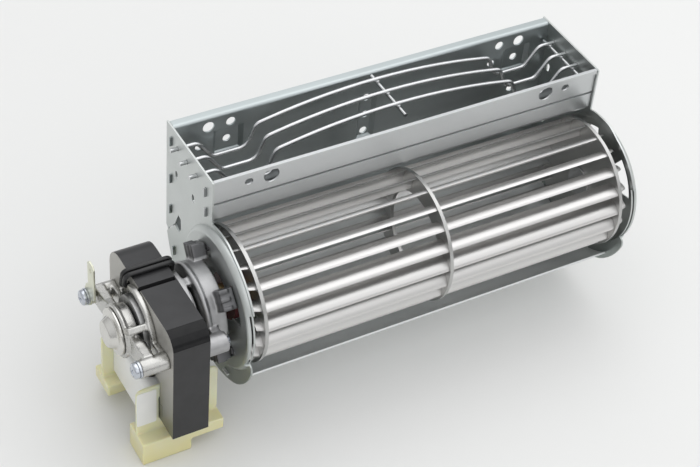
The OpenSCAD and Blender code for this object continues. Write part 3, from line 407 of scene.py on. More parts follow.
def galvanised_steel(name, colour, roughness):
    """Steel sheet with a faint grain along the blower."""
    finish = Finish(name, 1.0, SHEET_STRETCH)
    finish.mottle(colour, tuple(0.86 * c for c in colour), 45, 0.4, roughness, 0.12)
    finish.skin(900, 0.00002, 0.3)
    return finish.material


def duct_steel():
    """The scroll's own steel: grey with a blue cast in the duct; at the lower lip, paler and less metallic as
    painted light.
    """
    finish = Finish("duct_sheet", 1.0, SHEET_STRETCH)
    duct = finish.mottle((0.50, 0.545, 0.55), (0.43, 0.47, 0.475), 45, 0.4, 0.40, 0.12)
    # Painted light: the lower lip is tinted pale and made less metallic, standing in for the light that falls
    # there.
    low = finish.depth(-0.012, -0.028, 0.1)
    finish.tint(duct, low, (0.80, 0.82, 0.815))
    painted_light_metallic = math_node(finish.tree, "MULTIPLY_ADD", low, -0.75, 1.0)
    finish.tree.links.new(painted_light_metallic, finish.shader.inputs["Metallic"])
    finish.skin(900, 0.00002, 0.3)
    return finish.material


def plate_steel():
    """Galvanised steel that turns darker and greener towards the foot."""
    finish = Finish("plate_sheet", 1.0)
    clean = finish.mottle((0.60, 0.625, 0.615), (0.52, 0.54, 0.53), 50, 0.4, 0.38, 0.12)
    finish.tint(clean, finish.depth(0.012, -0.036, 0.25), (0.30, 0.335, 0.315), 0.75)
    finish.skin(900, 0.00002, 0.3)
    return finish.material


def rolled_aluminium(name, colour, roughness):
    """Bright strip with its rolling lines along the blower."""
    finish = Finish(name, 1.0, BLADE_STRETCH)
    finish.mottle(colour, tuple(0.9 * c for c in colour), 160, 0.35, roughness, 0.06)
    finish.skin(2600, 0.000006, 0.25)
    return finish.material


def bright_wire():
    """The guard's drawn wire."""
    finish = Finish("bright_wire", 1.0)
    finish.mottle((0.66, 0.67, 0.675), (0.52, 0.53, 0.54), 160, 0.4, 0.25, 0.12)
    finish.skin(1600, 0.00001, 0.3)
    return finish.material


def die_cast(name, colour, roughness, dark_lugs=False):
    """Grainy cast metal with rubbed edges, and with dark outer lugs where asked."""
    finish = Finish(name, 1.0)
    skin = finish.mottle(colour, tuple(0.72 * c for c in colour), 140, 0.6, roughness, 0.22)
    wear = finish.add(EDGE_WEAR, Edge_from=0.53, Break_up=0.5)
    worn = finish.tint(skin, wear["Wear"], (0.86, 0.85, 0.83), 0.55)
    if dark_lugs:
        zone = finish.add(OUTER_ZONE, place=finish.true_place, Middle_y=AXIS.y, Middle_z=AXIS.z,
                          Beyond_radius=0.0199, Beyond_height=0.009)
        finish.tint(worn, zone["Mask"], (0.10, 0.10, 0.105), 0.8)
    finish.skin(1500, 0.00006, 0.5)
    return finish.material


def laminated_steel():
    """Dark varnished sides with faint sheet lines, and bare end faces with a painted reflection that darkens
    them towards the coil.
    """
    finish = Finish("laminated_steel", 0.5)
    sides = finish.mottle((0.050, 0.050, 0.052), (0.036, 0.036, 0.037), 120, 0.5, 0.40, 0.12)
    lines = finish.add(SHEET_LINES, place=finish.true_place, Sheets_per_metre=2000.0, Line_share=0.2)
    lined = finish.tint(sides, lines["Lines"], (0.02, 0.02, 0.02), 0.3)
    # Painted reflection: the end faces go from pale grey to a dark greenish grey towards the coil, as if they
    # mirrored it.
    low = finish.depth(-0.006, -0.036, 0.15)
    bare_with_painted_reflection = mix_colours(finish.tree, low, (0.46, 0.45, 0.42, 1), (0.17, 0.17, 0.13, 1))
    ends = math_node(finish.tree, "GREATER_THAN", finish.facing("X"), 0.7)
    finish.colour(mix_colours(finish.tree, ends, lined, bare_with_painted_reflection))
    finish.skin(2500, 0.00002, 0.3)
    return finish.material


def glossy_black():
    """The corner band's gloss."""
    finish = Finish("black_band", 0.0)
    finish.mottle((0.010, 0.010, 0.011), (0.02, 0.02, 0.02), 300, 0.4, 0.10, 0.06)
    finish.skin(500, 0.00003, 0.3)
    finish.shader.inputs["Specular IOR Level"].default_value = 0.2
    return finish.material


def black_varnish():
    """The thick varnish on the shading rings."""
    finish = Finish("black_varnish", 0.0)
    finish.mottle((0.012, 0.012, 0.013), (0.03, 0.03, 0.03), 300, 0.4, 0.30, 0.18)
    finish.skin(900, 0.00004, 0.4)
    return finish.material


def ivory_nylon():
    """Translucent yellowish nylon, more orange towards its lower end."""
    finish = Finish("ivory_nylon", 0.0)
    pale = finish.mottle((0.80, 0.80, 0.60), (0.75, 0.74, 0.50), 60, 0.6, 0.34, 0.1)
    finish.tint(pale, finish.depth(-0.036, -0.056, 0.3), (0.74, 0.65, 0.27), 0.65)
    finish.skin(700, 0.00003, 0.3)
    finish.shader.inputs["Subsurface Weight"].default_value = 0.5
    finish.shader.inputs["Subsurface Radius"].default_value = (0.004, 0.003, 0.001)
    finish.shader.inputs["Subsurface Scale"].default_value = 0.6
    return finish.material


def white_film(name, tone):
    """Smooth white film or paper."""
    finish = Finish(name, 0.0)
    finish.mottle((tone, tone, tone - 0.02), (0.86 * tone, 0.87 * tone, 0.85 * tone), 90, 0.3, 0.30, 0.1)
    finish.skin(300, 0.00008, 0.4)
    return finish.material


def plain_finish(name, colour, patch, metallic, roughness):
    """A small piece's finish: two colours in patches and a fine skin."""
    finish = Finish(name, metallic)
    finish.mottle(colour, patch, 150, 0.5, roughness, 0.15)
    finish.skin(1500, 0.00002, 0.3)
    return finish.material


# Mesh work

# Edges bent by more than these degrees stay sharp
TURNED_SHARP, EASED_SHARP, BLADE_SHARP, CUT_SHARP, CAST_SHARP = 32, 38, 40, 45, 50


def link(name, mesh):
    """Makes an object of a mesh or a curve."""
    piece = bpy.data.objects.new(name, mesh)
    bpy.context.collection.objects.link(piece)
    return piece


def plain_mesh(draft, name):
    """Turns what an object's modifiers make into a plain mesh object and removes the draft."""
    graph = bpy.context.evaluated_depsgraph_get()
    mesh = bpy.data.meshes.new_from_object(draft.evaluated_get(graph))
    bpy.data.batch_remove((draft, draft.data))
    mesh.name = name
    return link(name, mesh)


def new_mesh(name, points, faces):
    """Makes a mesh of points and faces."""
    mesh = bpy.data.meshes.new(name)
    mesh.from_pydata(points, [], faces)
    return mesh


def shade(mesh, sharp_degrees=TURNED_SHARP, turn_outwards=False):
    """Shades smoothly up to the edges that are bent by more than the angle."""
    shape = bmesh.new()
    shape.from_mesh(mesh)
    if turn_outwards:
        bmesh.ops.remove_doubles(shape, verts=shape.verts, dist=1e-7)
        bmesh.ops.recalc_face_normals(shape, faces=shape.faces)
    for face in shape.faces:
        face.smooth = True
    for edge in shape.edges:
        edge.smooth = len(edge.link_faces) == 2 and edge.calc_face_angle(0) < math.radians(sharp_degrees)
    shape.to_mesh(mesh)
    shape.free()
    return mesh


def level_flats(piece):
    """Lets each flat keep its own normal where rounded edges meet it."""
    name = piece.name
    level = piece.modifiers.new("level", "WEIGHTED_NORMAL")
    level.keep_sharp = True
    return plain_mesh(piece, name)


def merged_parts(node):
    """The points and faces of a CAD node's copy, with its loose triangles joined and its flats made whole."""
    shape = bmesh.new()
    shape.from_mesh(NODES[node].data)
    bmesh.ops.remove_doubles(shape, verts=shape.verts, dist=1e-6)
    bmesh.ops.dissolve_limit(shape, angle_limit=math.radians(0.5), verts=shape.verts, edges=shape.edges)
    shape.verts.index_update()
    points = [vert.co.copy() for vert in shape.verts]
    faces = [[vert.index for vert in face.verts] for face in shape.faces]
    shape.free()
    return points, faces


def eased(node, name, width, finish, body=HOUSING, slot="sheet_steel", cuts=()):
    """A copy of a node with its sharp edges rounded off and openings cut, standing for the node."""
    draft = link(name + "_draft", new_mesh(name, *merged_parts(node)))
    cutters = []
    for cut in cuts:
        cutters.append(link(name + "_cutter", shade(new_mesh(name + "_cutter", *cut), turn_outwards=True)))
        opening = draft.modifiers.new("cut", "BOOLEAN")
        opening.operation = "DIFFERENCE"
        opening.solver = "EXACT"
        opening.object = cutters[-1]
    bevel = draft.modifiers.new("ease", "BEVEL")
    bevel.width = width * MM
    bevel.segments = 2
    bevel.limit_method = "ANGLE"
    bevel.angle_limit = math.radians(EASED_SHARP)
    piece = plain_mesh(draft, name)
    for cutter in cutters:
        bpy.data.batch_remove((cutter, cutter.data))
    shade(piece.data, EASED_SHARP)
    return hand_over(level_flats(piece), finish, body, slot, node)


def hand_over(piece, finish, body, slot, *stands_for):
    """Gives a finished piece its material, its body and the nodes that it stands for; slot is not used."""
    if finish:
        piece.data.materials.clear()
        piece.data.materials.append(finish)
    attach(piece, body)
    if stands_for:
        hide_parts(*stands_for)
    return piece


def filleted(corners, steps):
    """Rounds a path's corners; each corner is (u, v, radius), and the ends stay as they are."""
    path = [Vector(corners[0][:2])]
    for before, here, after in zip(corners, corners[1:], corners[2:]):
        middle = Vector(here[:2])
        first = (Vector(before[:2]) - middle).normalized()
        second = (Vector(after[:2]) - middle).normalized()
        half = first.angle(second) / 2
        if here[2] == 0 or half > math.pi / 2 - 0.002:
            path.append(middle)
            continue
        reach = here[2] / math.tan(half)
        centre = middle + (first + second).normalized() * here[2] / math.sin(half)
        start, end = middle + first * reach - centre, middle + second * reach - centre
        sweep = start.angle_signed(end)
        for i in range(steps + 1):
            turn = Matrix.Rotation(-sweep * i / steps, 2)
            path.append(centre + turn @ start)
    path.append(Vector(corners[-1][:2]))
    return path


def turned(name, profile, sides=72, middle=(0, 0), relief=None):
    """Turns a profile of (x, radius) about a line along X through middle.

    Relief, where given, moves each point: it takes x, radius and angle and returns x and radius.
    """
    points, rings = [], []
    for x, radius in profile:
        if radius < 1e-6:
            px = relief(x, 0, 0)[0] if relief else x
            rings.append([len(points)] * sides)
            points.append(at(px, *middle))
            continue
        rings.append(list(range(len(points), len(points) + sides)))
        for k in range(sides):
            angle = math.tau * k / sides
            px, pr = relief(x, radius, angle) if relief else (x, radius)
            points.append(at(px, middle[0] + pr * math.cos(angle), middle[1] + pr * math.sin(angle)))
    faces = []
    for ring, after in zip(rings, rings[1:]):
        for k in range(sides):
            n = (k + 1) % sides
            corners = [ring[k], ring[n], after[n], after[k]]
            faces.append(list(dict.fromkeys(corners)))
    return level_flats(link(name, shade(new_mesh(name, points, faces), TURNED_SHARP, True)))


def strip_parts(inner, outer, stations):
    """A closed strip between two lines of (y, z), drawn along X through the stations.

    A station is (x, share): the share trims that much of the strip's width off each end.
    """
    points, faces = [], []
    count = len(inner)

    def along(line, t):
        i = min(int(t), count - 2)
        return Vector(line[i]).lerp(Vector(line[i + 1]), t - i)

    for x, share in stations:
        spots = [share * (count - 1) + (1 - 2 * share) * i for i in range(count)]
        points += [at(x, *along(inner, t)) for t in spots]
        points += [at(x, *along(outer, t)) for t in reversed(spots)]
    size = 2 * count
    for s in range(len(stations) - 1):
        for k in range(size):
            n = (k + 1) % size
            faces.append([s * size + k, s * size + n, (s + 1) * size + n, (s + 1) * size + k])
    for s in (0, len(stations) - 1):
        for i in range(count - 1):
            faces.append([s * size + i, s * size + i + 1, s * size + size - 2 - i, s * size + size - 1 - i])
    return points, faces


def prism_parts(outline, x0, x1):
    """A closed block along X over the hull of some points of (y, z)."""
    hull = [outline[i] for i in convex_hull_2d([Vector(p) for p in outline])]
    count = len(hull)
    points = [at(x0, *p) for p in hull] + [at(x1, *p) for p in hull]
    faces = [[k, (k + 1) % count, count + (k + 1) % count, count + k] for k in range(count)]
    faces += [list(range(count))[::-1], [count + k for k in range(count)]]
    return points, faces


def arc_points(y, z, radius, angles):
    """Points on a circle at the given angles."""
    return [(y + radius * math.cos(a), z + radius * math.sin(a)) for a in angles]


def disc_points(y, z, radius, count=40):
    """Points all round a circle."""
    return arc_points(y, z, radius, [math.tau * k / count for k in range(count)])


def join_parts(*parts):
    """Puts the points and faces of several forms together."""
    points, faces = [], []
    for more_points, more_faces in parts:
        first = len(points)
        points += more_points
        faces += [[first + k for k in face] for face in more_faces]
    return points, faces


def mesh_parts(piece):
    """Takes a helper piece's points and faces and removes it."""
    mesh = piece.data
    parts = [vert.co.copy() for vert in mesh.vertices], [list(face.vertices) for face in mesh.polygons]
    bpy.data.objects.remove(piece)
    return parts


def cast(node, name, voxel, rounds, finish, slot, *extras):
    """A node's solid and extra forms run together, with every edge rounded as the mould leaves it."""
    draft = link(name + "_draft", new_mesh(name, *join_parts(merged_parts(node), *extras)))
    remesh = draft.modifiers.new("run_together", "REMESH")
    remesh.mode = "VOXEL"
    remesh.voxel_size = voxel * MM
    smooth = draft.modifiers.new("round_over", "SMOOTH")
    smooth.factor = 0.5
    smooth.iterations = rounds
    piece = plain_mesh(draft, name)
    shade(piece.data, CAST_SHARP)
    return hand_over(piece, finish, HOUSING, slot, node)


def cut_sheet(name, outlines, thickness, ease, turn, place):
    """Cuts a flat piece with eased edges from outlines in millimetres; the first has the others as holes."""
    curve = bpy.data.curves.new(name, "CURVE")
    curve.dimensions = "2D"
    curve.fill_mode = "BOTH"
    curve.extrude = (thickness / 2 - ease) * MM
    curve.bevel_depth = ease * MM
    curve.offset = -ease * MM
    curve.bevel_resolution = 2
    for outline in outlines:
        spline = curve.splines.new("POLY")
        spline.points.add(len(outline) - 1)
        for point, spot in zip(spline.points, outline):
            point.co = (spot[0] * MM, spot[1] * MM, 0, 1)
        spline.use_cyclic_u = True
    piece = plain_mesh(link(name + "_draft", curve), name)
    piece.data.transform(Matrix.Translation(place) @ turn.to_4x4())
    shade(piece.data, CUT_SHARP, True)
    return level_flats(piece)


def rounded_outline(corners, steps=5):
    """Rounds every corner of a closed outline of (u, v, radius)."""
    around = [corners[-1], *corners, corners[0]]
    return filleted(around, steps)[1:-1]


# Geometry Nodes

def maker(name, inputs):
    """Starts a Geometry Nodes tree with named inputs, and returns it with its two ends."""
    tree = bpy.data.node_groups.new(name, "GeometryNodeTree")
    add_inputs(tree, [("Geometry", "NodeSocketGeometry", None), *inputs])
    tree.interface.new_socket(name="Geometry", in_out="OUTPUT", socket_type="NodeSocketGeometry")
    return tree, tree.nodes.new("NodeGroupInput").outputs, tree.nodes.new("NodeGroupOutput").inputs


def step(tree, kind, sockets=None, **settings):
    """Adds a node; sockets maps an input's name or number to a value or to another node's output."""
    node = tree.nodes.new(kind)
    for label, value in settings.items():
        setattr(node, label, value)
    for key, value in (sockets or {}).items():
        if hasattr(value, "is_output"):
            tree.links.new(value, node.inputs[key])
        else:
            node.inputs[key].default_value = value
    return node.outputs


def close_tree(tree, geometry, finish, end, smooth=False):
    """Ends a tree in real faces with their material, shaded smooth where asked."""
    real = step(tree, "GeometryNodeRealizeInstances", {0: geometry})[0]
    if smooth:
        real = step(tree, "GeometryNodeSetShadeSmooth", {0: real})[0]
    tree.links.new(step(tree, "GeometryNodeSetMaterial", {0: real, "Material": finish})[0], end[0])


BEAD_STRETCH = (1.15, 1.15, 0.75)


def build_wire_maker():
    """Sweeps round wire along every line, and sets a weld bead on every loose point."""
    tree, start, end = maker("bent_wire", [
        ("Wire radius", FLOAT, 0.001), ("Wire sides", "NodeSocketInt", 16), ("Bead radius", FLOAT, 0.001),
        ("Finish", "NodeSocketMaterial", None),
    ])
    bead = step(tree, "GeometryNodeInputNamedAttribute", {"Name": "bead"}, data_type="BOOLEAN")["Attribute"]
    parts = step(tree, "GeometryNodeSeparateGeometry", {0: start["Geometry"], "Selection": bead})
    lines = step(tree, "GeometryNodeMeshToCurve", {0: parts["Inverted"]})[0]
    girth = step(tree, "GeometryNodeInputNamedAttribute", {"Name": "girth"})["Attribute"]
    sized = step(tree, "GeometryNodeSetCurveRadius", {0: lines, "Radius": girth})[0]
    ring = step(tree, "GeometryNodeCurvePrimitiveCircle",
                {"Resolution": start["Wire sides"], "Radius": start["Wire radius"]})[0]
    wire = step(tree, "GeometryNodeCurveToMesh",
                {"Curve": sized, "Profile Curve": ring, "Fill Caps": True})[0]
    drop = step(tree, "GeometryNodeMeshIcoSphere", {"Radius": start["Bead radius"], "Subdivisions": 3})[0]
    spots = step(tree, "GeometryNodeMeshToPoints", {0: parts["Selection"]})[0]
    beads = step(tree, "GeometryNodeInstanceOnPoints",
                 {"Points": spots, "Instance": drop, "Scale": BEAD_STRETCH})[0]
    both = step(tree, "GeometryNodeJoinGeometry", {0: wire})
    tree.links.new(beads, both[0].node.inputs[0])
    close_tree(tree, both[0], start["Finish"], end, smooth=True)
    return tree


def build_ring_maker():
    """Sets copies of the incoming shape evenly about a line along X."""
    tree, start, end = maker("ring_of_copies", [
        ("Count", "NodeSocketInt", 20), ("Axis place", VECTOR, None), ("Finish", "NodeSocketMaterial", None),
    ])
    spots = step(tree, "GeometryNodePoints", {"Count": start["Count"]})[0]
    index = step(tree, "GeometryNodeInputIndex")[0]
    share = step(tree, "ShaderNodeMath", {0: index, 1: start["Count"]}, operation="DIVIDE")[0]
    angle = step(tree, "ShaderNodeMath", {0: share, 1: math.tau}, operation="MULTIPLY")[0]
    turn = step(tree, "ShaderNodeCombineXYZ", {"X": angle})[0]
    copies = step(tree, "GeometryNodeInstanceOnPoints",
                  {"Points": spots, "Instance": start["Geometry"], "Rotation": turn})[0]
    placed = step(tree, "GeometryNodeTransform", {0: copies, "Translation": start["Axis place"]})[0]
    close_tree(tree, placed, start["Finish"], end)
    return tree


def run_maker(tree, name, mesh, **values):
    """Runs a tree on a mesh and returns what it makes as a plain mesh object."""
    draft = link(name + "_draft", mesh)
    modifier = draft.modifiers.new("make", "NODES")
    modifier.node_group = tree
    sockets = {item.name: item.identifier for item in tree.interface.items_tree if item.in_out == "INPUT"}
    for label, value in values.items():
        modifier[sockets[label.replace("_", " ")]] = value
    return plain_mesh(draft, name)


# The wire's thickness at its first two points, as a share of the whole
TIP_GIRTH = [0.55, 0.9]


def wire_mesh(name, lines, beads=(), closed=False):
    """The lines that the wire maker sweeps, thinner at their open ends, and the places of the beads."""
    points, edges, girth = [], [], []
    for line in lines:
        first = len(points)
        points += line
        edges += [(first + i, first + i + 1) for i in range(len(line) - 1)]
        if closed:
            edges.append((first + len(line) - 1, first))
            girth += [1.0] * len(line)
        else:
            girth += TIP_GIRTH + [1.0] * (len(line) - 4) + TIP_GIRTH[::-1]
    is_bead = [False] * len(points) + [True] * len(beads)
    points += beads
    girth += [1.0] * len(beads)
    mesh = bpy.data.meshes.new(name)
    mesh.from_pydata(points, edges, [])
    mesh.attributes.new("bead", "BOOLEAN", "POINT").data.foreach_set("value", is_bead)
    mesh.attributes.new("girth", "FLOAT", "POINT").data.foreach_set("value", girth)
    return mesh


WIRE_MAKER, RING_MAKER = build_wire_maker(), build_ring_maker()


# Outlet guard

WIRE_RADIUS, BEAD_RADIUS, WIRE_SIDES = 0.9, 1.05, 18
WIRE_TIP, WIRE_BEND_STEPS = 0.25, 14
GUARD_Y = (24.7, 33.8, 42.9)
CROSS_X_Z = ((-90.5, 44.55), (0, 52.05), (90.5, 44.55))
CROSS_FRONT, CROSS_MIDDLE, CROSS_REAR = 18.2, 30, 47.6
GUARD_END_X = 96.6

# One half of a long wire from its end to the middle: x, z and the bend's radius
GUARD_HALF = [(-GUARD_END_X, 46.4, 0), (-84.42, 46.4, 4), (-77.5, 37.3, 4), (-61.6, 37.3, 5.5),
              (-57.6, 47.94, 3.5)]
GUARD_TOP = (0, 59.14, 280)


def make_guard(finish):
    """Three bent long wires, three cross wires under them, and a weld bead where they meet."""
    mirrored = [(-x, z, radius) for x, z, radius in reversed(GUARD_HALF)]
    path = filleted([*GUARD_HALF, GUARD_TOP, *mirrored], WIRE_BEND_STEPS)
    lines = []
    for y in GUARD_Y:
        ends = [Vector((GUARD_END_X - t, path[-1].y)) for t in (WIRE_TIP, 0)]
        starts = [Vector((t - GUARD_END_X, path[0].y)) for t in (0, WIRE_TIP)]
        lines.append([at(p.x, y, p.y) for p in [*starts, *path[1:-1], *ends]])
    for x, z in CROSS_X_Z:
        spots = [CROSS_FRONT, CROSS_FRONT + WIRE_TIP, CROSS_MIDDLE, CROSS_REAR - WIRE_TIP, CROSS_REAR]
        lines.append([at(x, y, z) for y in spots])
    beads = [at(x, y, z + WIRE_RADIUS) for x, z in CROSS_X_Z for y in GUARD_Y]
    guard = run_maker(WIRE_MAKER, "outlet_guard", wire_mesh("guard_lines", lines, beads),
                      Wire_radius=WIRE_RADIUS * MM, Wire_sides=WIRE_SIDES,
                      Bead_radius=BEAD_RADIUS * MM, Finish=finish)
    hand_over(guard, None, HOUSING, "guard_steel", *[n for n in NODES if n.startswith("guard_")])


# Blade wheel

BLADE_OUTER_R, BLADE_INNER_R, BLADE_CURVE_R, BLADE_HALF_T = 29.2, 22.6, 6.6, 0.25
BLADE_HALF_L, BLADE_STEPS = 91.0, 14

# From a blade's end inwards: how far, and the share of its width that is clipped off each side
BLADE_TIP = [(0.0, 0.24), (2.7, 0.14), (3.1, 0.0)]


def blade_line(radius):
    """One face of a blade: the arc from the inner to the outer radius, as (y, z) about the axis."""
    centre = math.hypot(BLADE_INNER_R, BLADE_CURVE_R)
    start, end = [-math.acos((r * r - centre * centre - radius * radius) / (2 * centre * radius))
                  for r in (BLADE_INNER_R, BLADE_OUTER_R)]
    angles = [start + (end - start) * i / BLADE_STEPS for i in range(BLADE_STEPS + 1)]
    return arc_points(centre, 0, radius, angles)


def make_blades(finish):
    """Twenty curved blades about the axis, with their tips' corners clipped."""
    stations = [(x - BLADE_HALF_L, share) for x, share in BLADE_TIP]
    stations += [(BLADE_HALF_L - x, share) for x, share in reversed(BLADE_TIP)]
    lines = [blade_line(BLADE_CURVE_R + side * BLADE_HALF_T) for side in (-1, 1)]
    points, faces = strip_parts(*lines, stations)
    centred = [point - AXIS for point in points]
    mesh = shade(new_mesh("blade", centred, faces), BLADE_SHARP, True)
    blades = run_maker(RING_MAKER, "wheel_blades", mesh,
                       Count=len(BLADES), Axis_place=AXIS, Finish=finish)
    hand_over(blades, None, IMPELLER, "wheel_aluminium", *BLADES)


# Motor

STACK_OUT, STACK_IN = -129.0, -113.0
STACK_TOP, STACK_HALF_W, CORNER_R = 18.0, 31.4, 7.5
SCREWS = ((-25.5, 2.6), (25.5, -2.6))

# The cap's section from its outer middle to its inner middle: x, radius and the bend's radius
CAP_SECTION = [(-144.7, 0, 0), (-144.7, 5.5, 0.8), (-141.7, 7.2, 0.9), (-141.2, 10.2, 0.4),
               (-140.1, 10.2, 0.3), (-140.1, 7.2, 0.2), (-141.1, 6.6, 0.4), (-144.0, 5.0, 0.4),
               (-144.0, 0, 0)]


def make_bearing_cap(finish):
    """The bright cap over the hub: a drawn cup with a flat face and a rolled brim."""
    cap = turned("turned_bearing_cap", [(p.x, p.y) for p in filleted(CAP_SECTION, 5)], 96)
    hand_over(cap, finish, HOUSING, "cap_nickel", "outer_bearing_cap")


HEAD_R, HEAD_H, HEAD_FLAT_R = 3.4, 2.4, 2.4
SHANK_R, SCREW_TIP = 1.95, -101.6
THREAD_L, THREAD_PITCH, THREAD_DEPTH, THREAD_STEP = 5.0, 0.7, 0.28, 0.07
RECESS_DEPTH, RECESS_HALF_W, RECESS_HALF_L = 1.1, 0.62, 1.9

# Each screw: its name, its place, where its head seats and how far its cross is turned
SCREW_HEADS = (("front_screw", SCREWS[0], -141.65, 0.6), ("rear_screw", SCREWS[1], -142.55, 1.0))


def cross_recess(x, radius, angle, seat, turn):
    """Sinks the cross into a screw head's face."""
    if x > seat - 1.2 or radius > 2.3:
        return x, radius
    u, v = radius * math.cos(angle - turn), radius * math.sin(angle - turn)
    depth = 0
    for along, across in ((u, v), (v, u)):
        width = min(max((RECESS_HALF_W - abs(across)) / 0.25, 0), 1)
        length = min(max((RECESS_HALF_L - abs(along)) / 0.5, 0), 1)
        depth = max(depth, RECESS_DEPTH * width * length)
    return x + depth, radius


def make_screws(finish):
    """Two pan-head screws with a cross recess, and a rolled thread where they leave the inner posts."""
    thread_from, thread_to = SCREW_TIP - THREAD_L, SCREW_TIP - 0.5
    rings = int((thread_to - thread_from) / THREAD_STEP)
    shank = [(thread_from - 0.2, SHANK_R)]
    shank += [(thread_from + THREAD_STEP * i, SHANK_R) for i in range(rings)]
    shank += [(SCREW_TIP - 0.45, 1.6), (SCREW_TIP, 1.2), (SCREW_TIP, 0)]
    for name, (y, z), seat, turn in SCREW_HEADS:
        face = seat - HEAD_H
        crown = [HEAD_FLAT_R * i / 12 for i in range(13)]
        head = [(face + 0.3 * (r / 2.6) ** 2, r) for r in crown]
        head += [(face + 0.42, 2.8), (face + 0.7, 3.15), (face + 1.1, 3.36), (seat - 0.3, HEAD_R),
                 (seat, HEAD_R - 0.1), (seat, SHANK_R)]

        def relief(x, radius, angle):
            if thread_from <= x <= thread_to:
                turns = (x - thread_from) / THREAD_PITCH
                phase = (turns + angle / math.tau) % 1
                return x, radius - THREAD_DEPTH * min(turns, 1) * abs(2 * phase - 1)
            return cross_recess(x, radius, angle, seat, turn)

        screw = turned(name, head + shank, middle=(y, z), relief=relief)
        hand_over(screw, finish, HOUSING, "screw_zinc", "bracket_screws")


CAST_VOXEL, MOULD_VOXEL = 0.4, 0.42

# Sections of (x, radius) that are added to the castings
HUB_COLLAR = [(-139.95, 6.2), (-139.95, 11.2), (-139.5, 11.7), (-138.6, 11.7), (-137.9, 10.9),
              (-133.7, 10.4), (-133.7, 6.2), (-139.95, 6.2)]
CUP_BEAD = [(-108.1, 17.5), (-108.1, 19.1), (-107.4, 19.6), (-106.6, 19.6), (-105.9, 19.1),
            (-105.9, 17.5), (-108.1, 17.5)]
WEB_HUB_R, WEB_END_R, RIB_HALF_W = 9.8, 4.2, 1.1
WEB_X, RIB_X = (-138.3, -135.4), (-135.6, -132.8)


def make_outer_bracket(finish):
    """The outer casting with its hub's collar, webs that spread to the hub, and a rib under each post."""
    collar = turned("collar", HUB_COLLAR)
    webs = []
    for y, z in SCREWS:
        side = math.copysign(1, y)
        spread = [math.radians(9 * i - 45) for i in range(11)]
        fan = [(side * WEB_HUB_R * math.cos(a), WEB_HUB_R * math.sin(a)) for a in spread]
        webs.append(prism_parts(fan + disc_points(y * 0.72, z, WEB_END_R), *WEB_X))
        low, high = z - RIB_HALF_W, z + RIB_HALF_W
        rib = [(y * 0.45, low), (y * 0.45, high), (y * 0.9, high), (y * 0.9, low)]
        webs.append(prism_parts(rib, *RIB_X))
    return cast("outer_bracket", "outer_bracket_casting", CAST_VOXEL, 3, finish, "bracket_casting",
                mesh_parts(collar), *webs)


def make_inner_bracket(finish):
    """The inner casting, with a raised bead round its cup."""
    return cast("inner_bracket", "inner_bracket_casting", CAST_VOXEL, 3, finish, "bracket_casting",
                mesh_parts(turned("bead", CUP_BEAD)))


LOOP_WIRE_R, LOOP_CORNER_R, LOOP_SEAT = 1.05, 2.2, 0.1
# Where each loop crosses the stack's edge and where its slot is: y at the edge, y and z of the slot
LOOP_PLACES = [(9.4, 11.3, 11.4), (12.1, 14, 9.2)]
LOWER_EDGE = 17.3


def make_shading_loops(finish):
    """The four shading rings as closed loops of bent copper wire under black varnish."""
    half_w = (STACK_IN - STACK_OUT + 2 * LOOP_CORNER_R + 0.2) / 2
    middle_x = (STACK_IN + STACK_OUT) / 2
    for i in range(4):
        top_y, slot_y, slot_z = LOOP_PLACES[i % 2]
        lower = i > 1
        edge = LOWER_EDGE if lower else STACK_TOP
        lean = math.atan((slot_y - top_y) / (STACK_TOP - slot_z))
        height = round(10 * (edge + LOOP_WIRE_R + LOOP_SEAT - slot_z) / math.cos(lean)) / 10
        corners = [(u, v, LOOP_CORNER_R) for u, v in
                   ((-half_w, 0), (half_w, 0), (half_w, height), (-half_w, height))]
        loop = []
        for u, v in rounded_outline(corners, 8):
            y, z = slot_y - v * math.sin(lean), slot_z + v * math.cos(lean)
            loop.append(at(middle_x + u, -y, -z) if lower else at(middle_x + u, y, z))
        name = f"shading_loop_{i + 1}"
        piece = run_maker(WIRE_MAKER, name, wire_mesh(name + "_line", [loop], closed=True),
                          Wire_radius=LOOP_WIRE_R * MM, Wire_sides=24, Finish=finish)
        hand_over(piece, None, HOUSING, "shading_copper", f"shading_ring_{i + 1}")


# The band's layers: first and last angle in degrees, rise above the stack, and steps
BAND_LAYERS = [(93, 169, 0.07, 20), (93, 95.5, 0.11, 3), (166.5, 169, 0.09, 3)]
BAND_SINK, BAND_INSET = 0.05, 0.1


def make_corner_band(finish):
    """The glossy black band over the stack's upper front corner, thicker at its two ends."""
    centre = (CORNER_R - STACK_HALF_W, STACK_TOP - CORNER_R)

    ends = [(STACK_OUT + BAND_INSET, 0), (STACK_IN - BAND_INSET, 0)]
    parts = []
    for first, last, rise, steps in BAND_LAYERS:
        angles = [math.radians(first + (last - first) * i / steps) for i in range(steps + 1)]
        lines = [arc_points(*centre, radius, angles) for radius in (CORNER_R - BAND_SINK, CORNER_R + rise)]
        parts.append(strip_parts(*lines, ends))
    band = link("corner_band", new_mesh("corner_band", *join_parts(*parts)))
    shade(band.data, TURNED_SHARP, True)
    hand_over(band, finish, HOUSING, "shading_copper")


LABEL_X, LABEL_Z, LABEL_CORNER_R = (-139.1, -130.4), (-39.6, -20.4), 0.8
LABEL_T, LABEL_Y = 0.12, -18.44


def make_label(finish):
    """The blank white label on the bobbin's front flange."""
    (left, right), (low, high) = LABEL_X, LABEL_Z
    corners = [(x, z, LABEL_CORNER_R) for x, z in ((left, low), (right, low), (right, high), (left, high))]
    turn = Matrix(((1, 0, 0), (0, 0, -1), (0, 1, 0)))
    label = cut_sheet("blank_label", [rounded_outline(corners)], LABEL_T, 0.03, turn, at(0, LABEL_Y, 0))
    hand_over(label, finish, HOUSING, "wrap_film")


TAB_TOP, TAB_T, TAB_X = 19.5, 0.8, -141.15
TAB_EYE_R, TAB_BORE_R, TAB_HOLE_R = 3.9, 2.15, 0.8


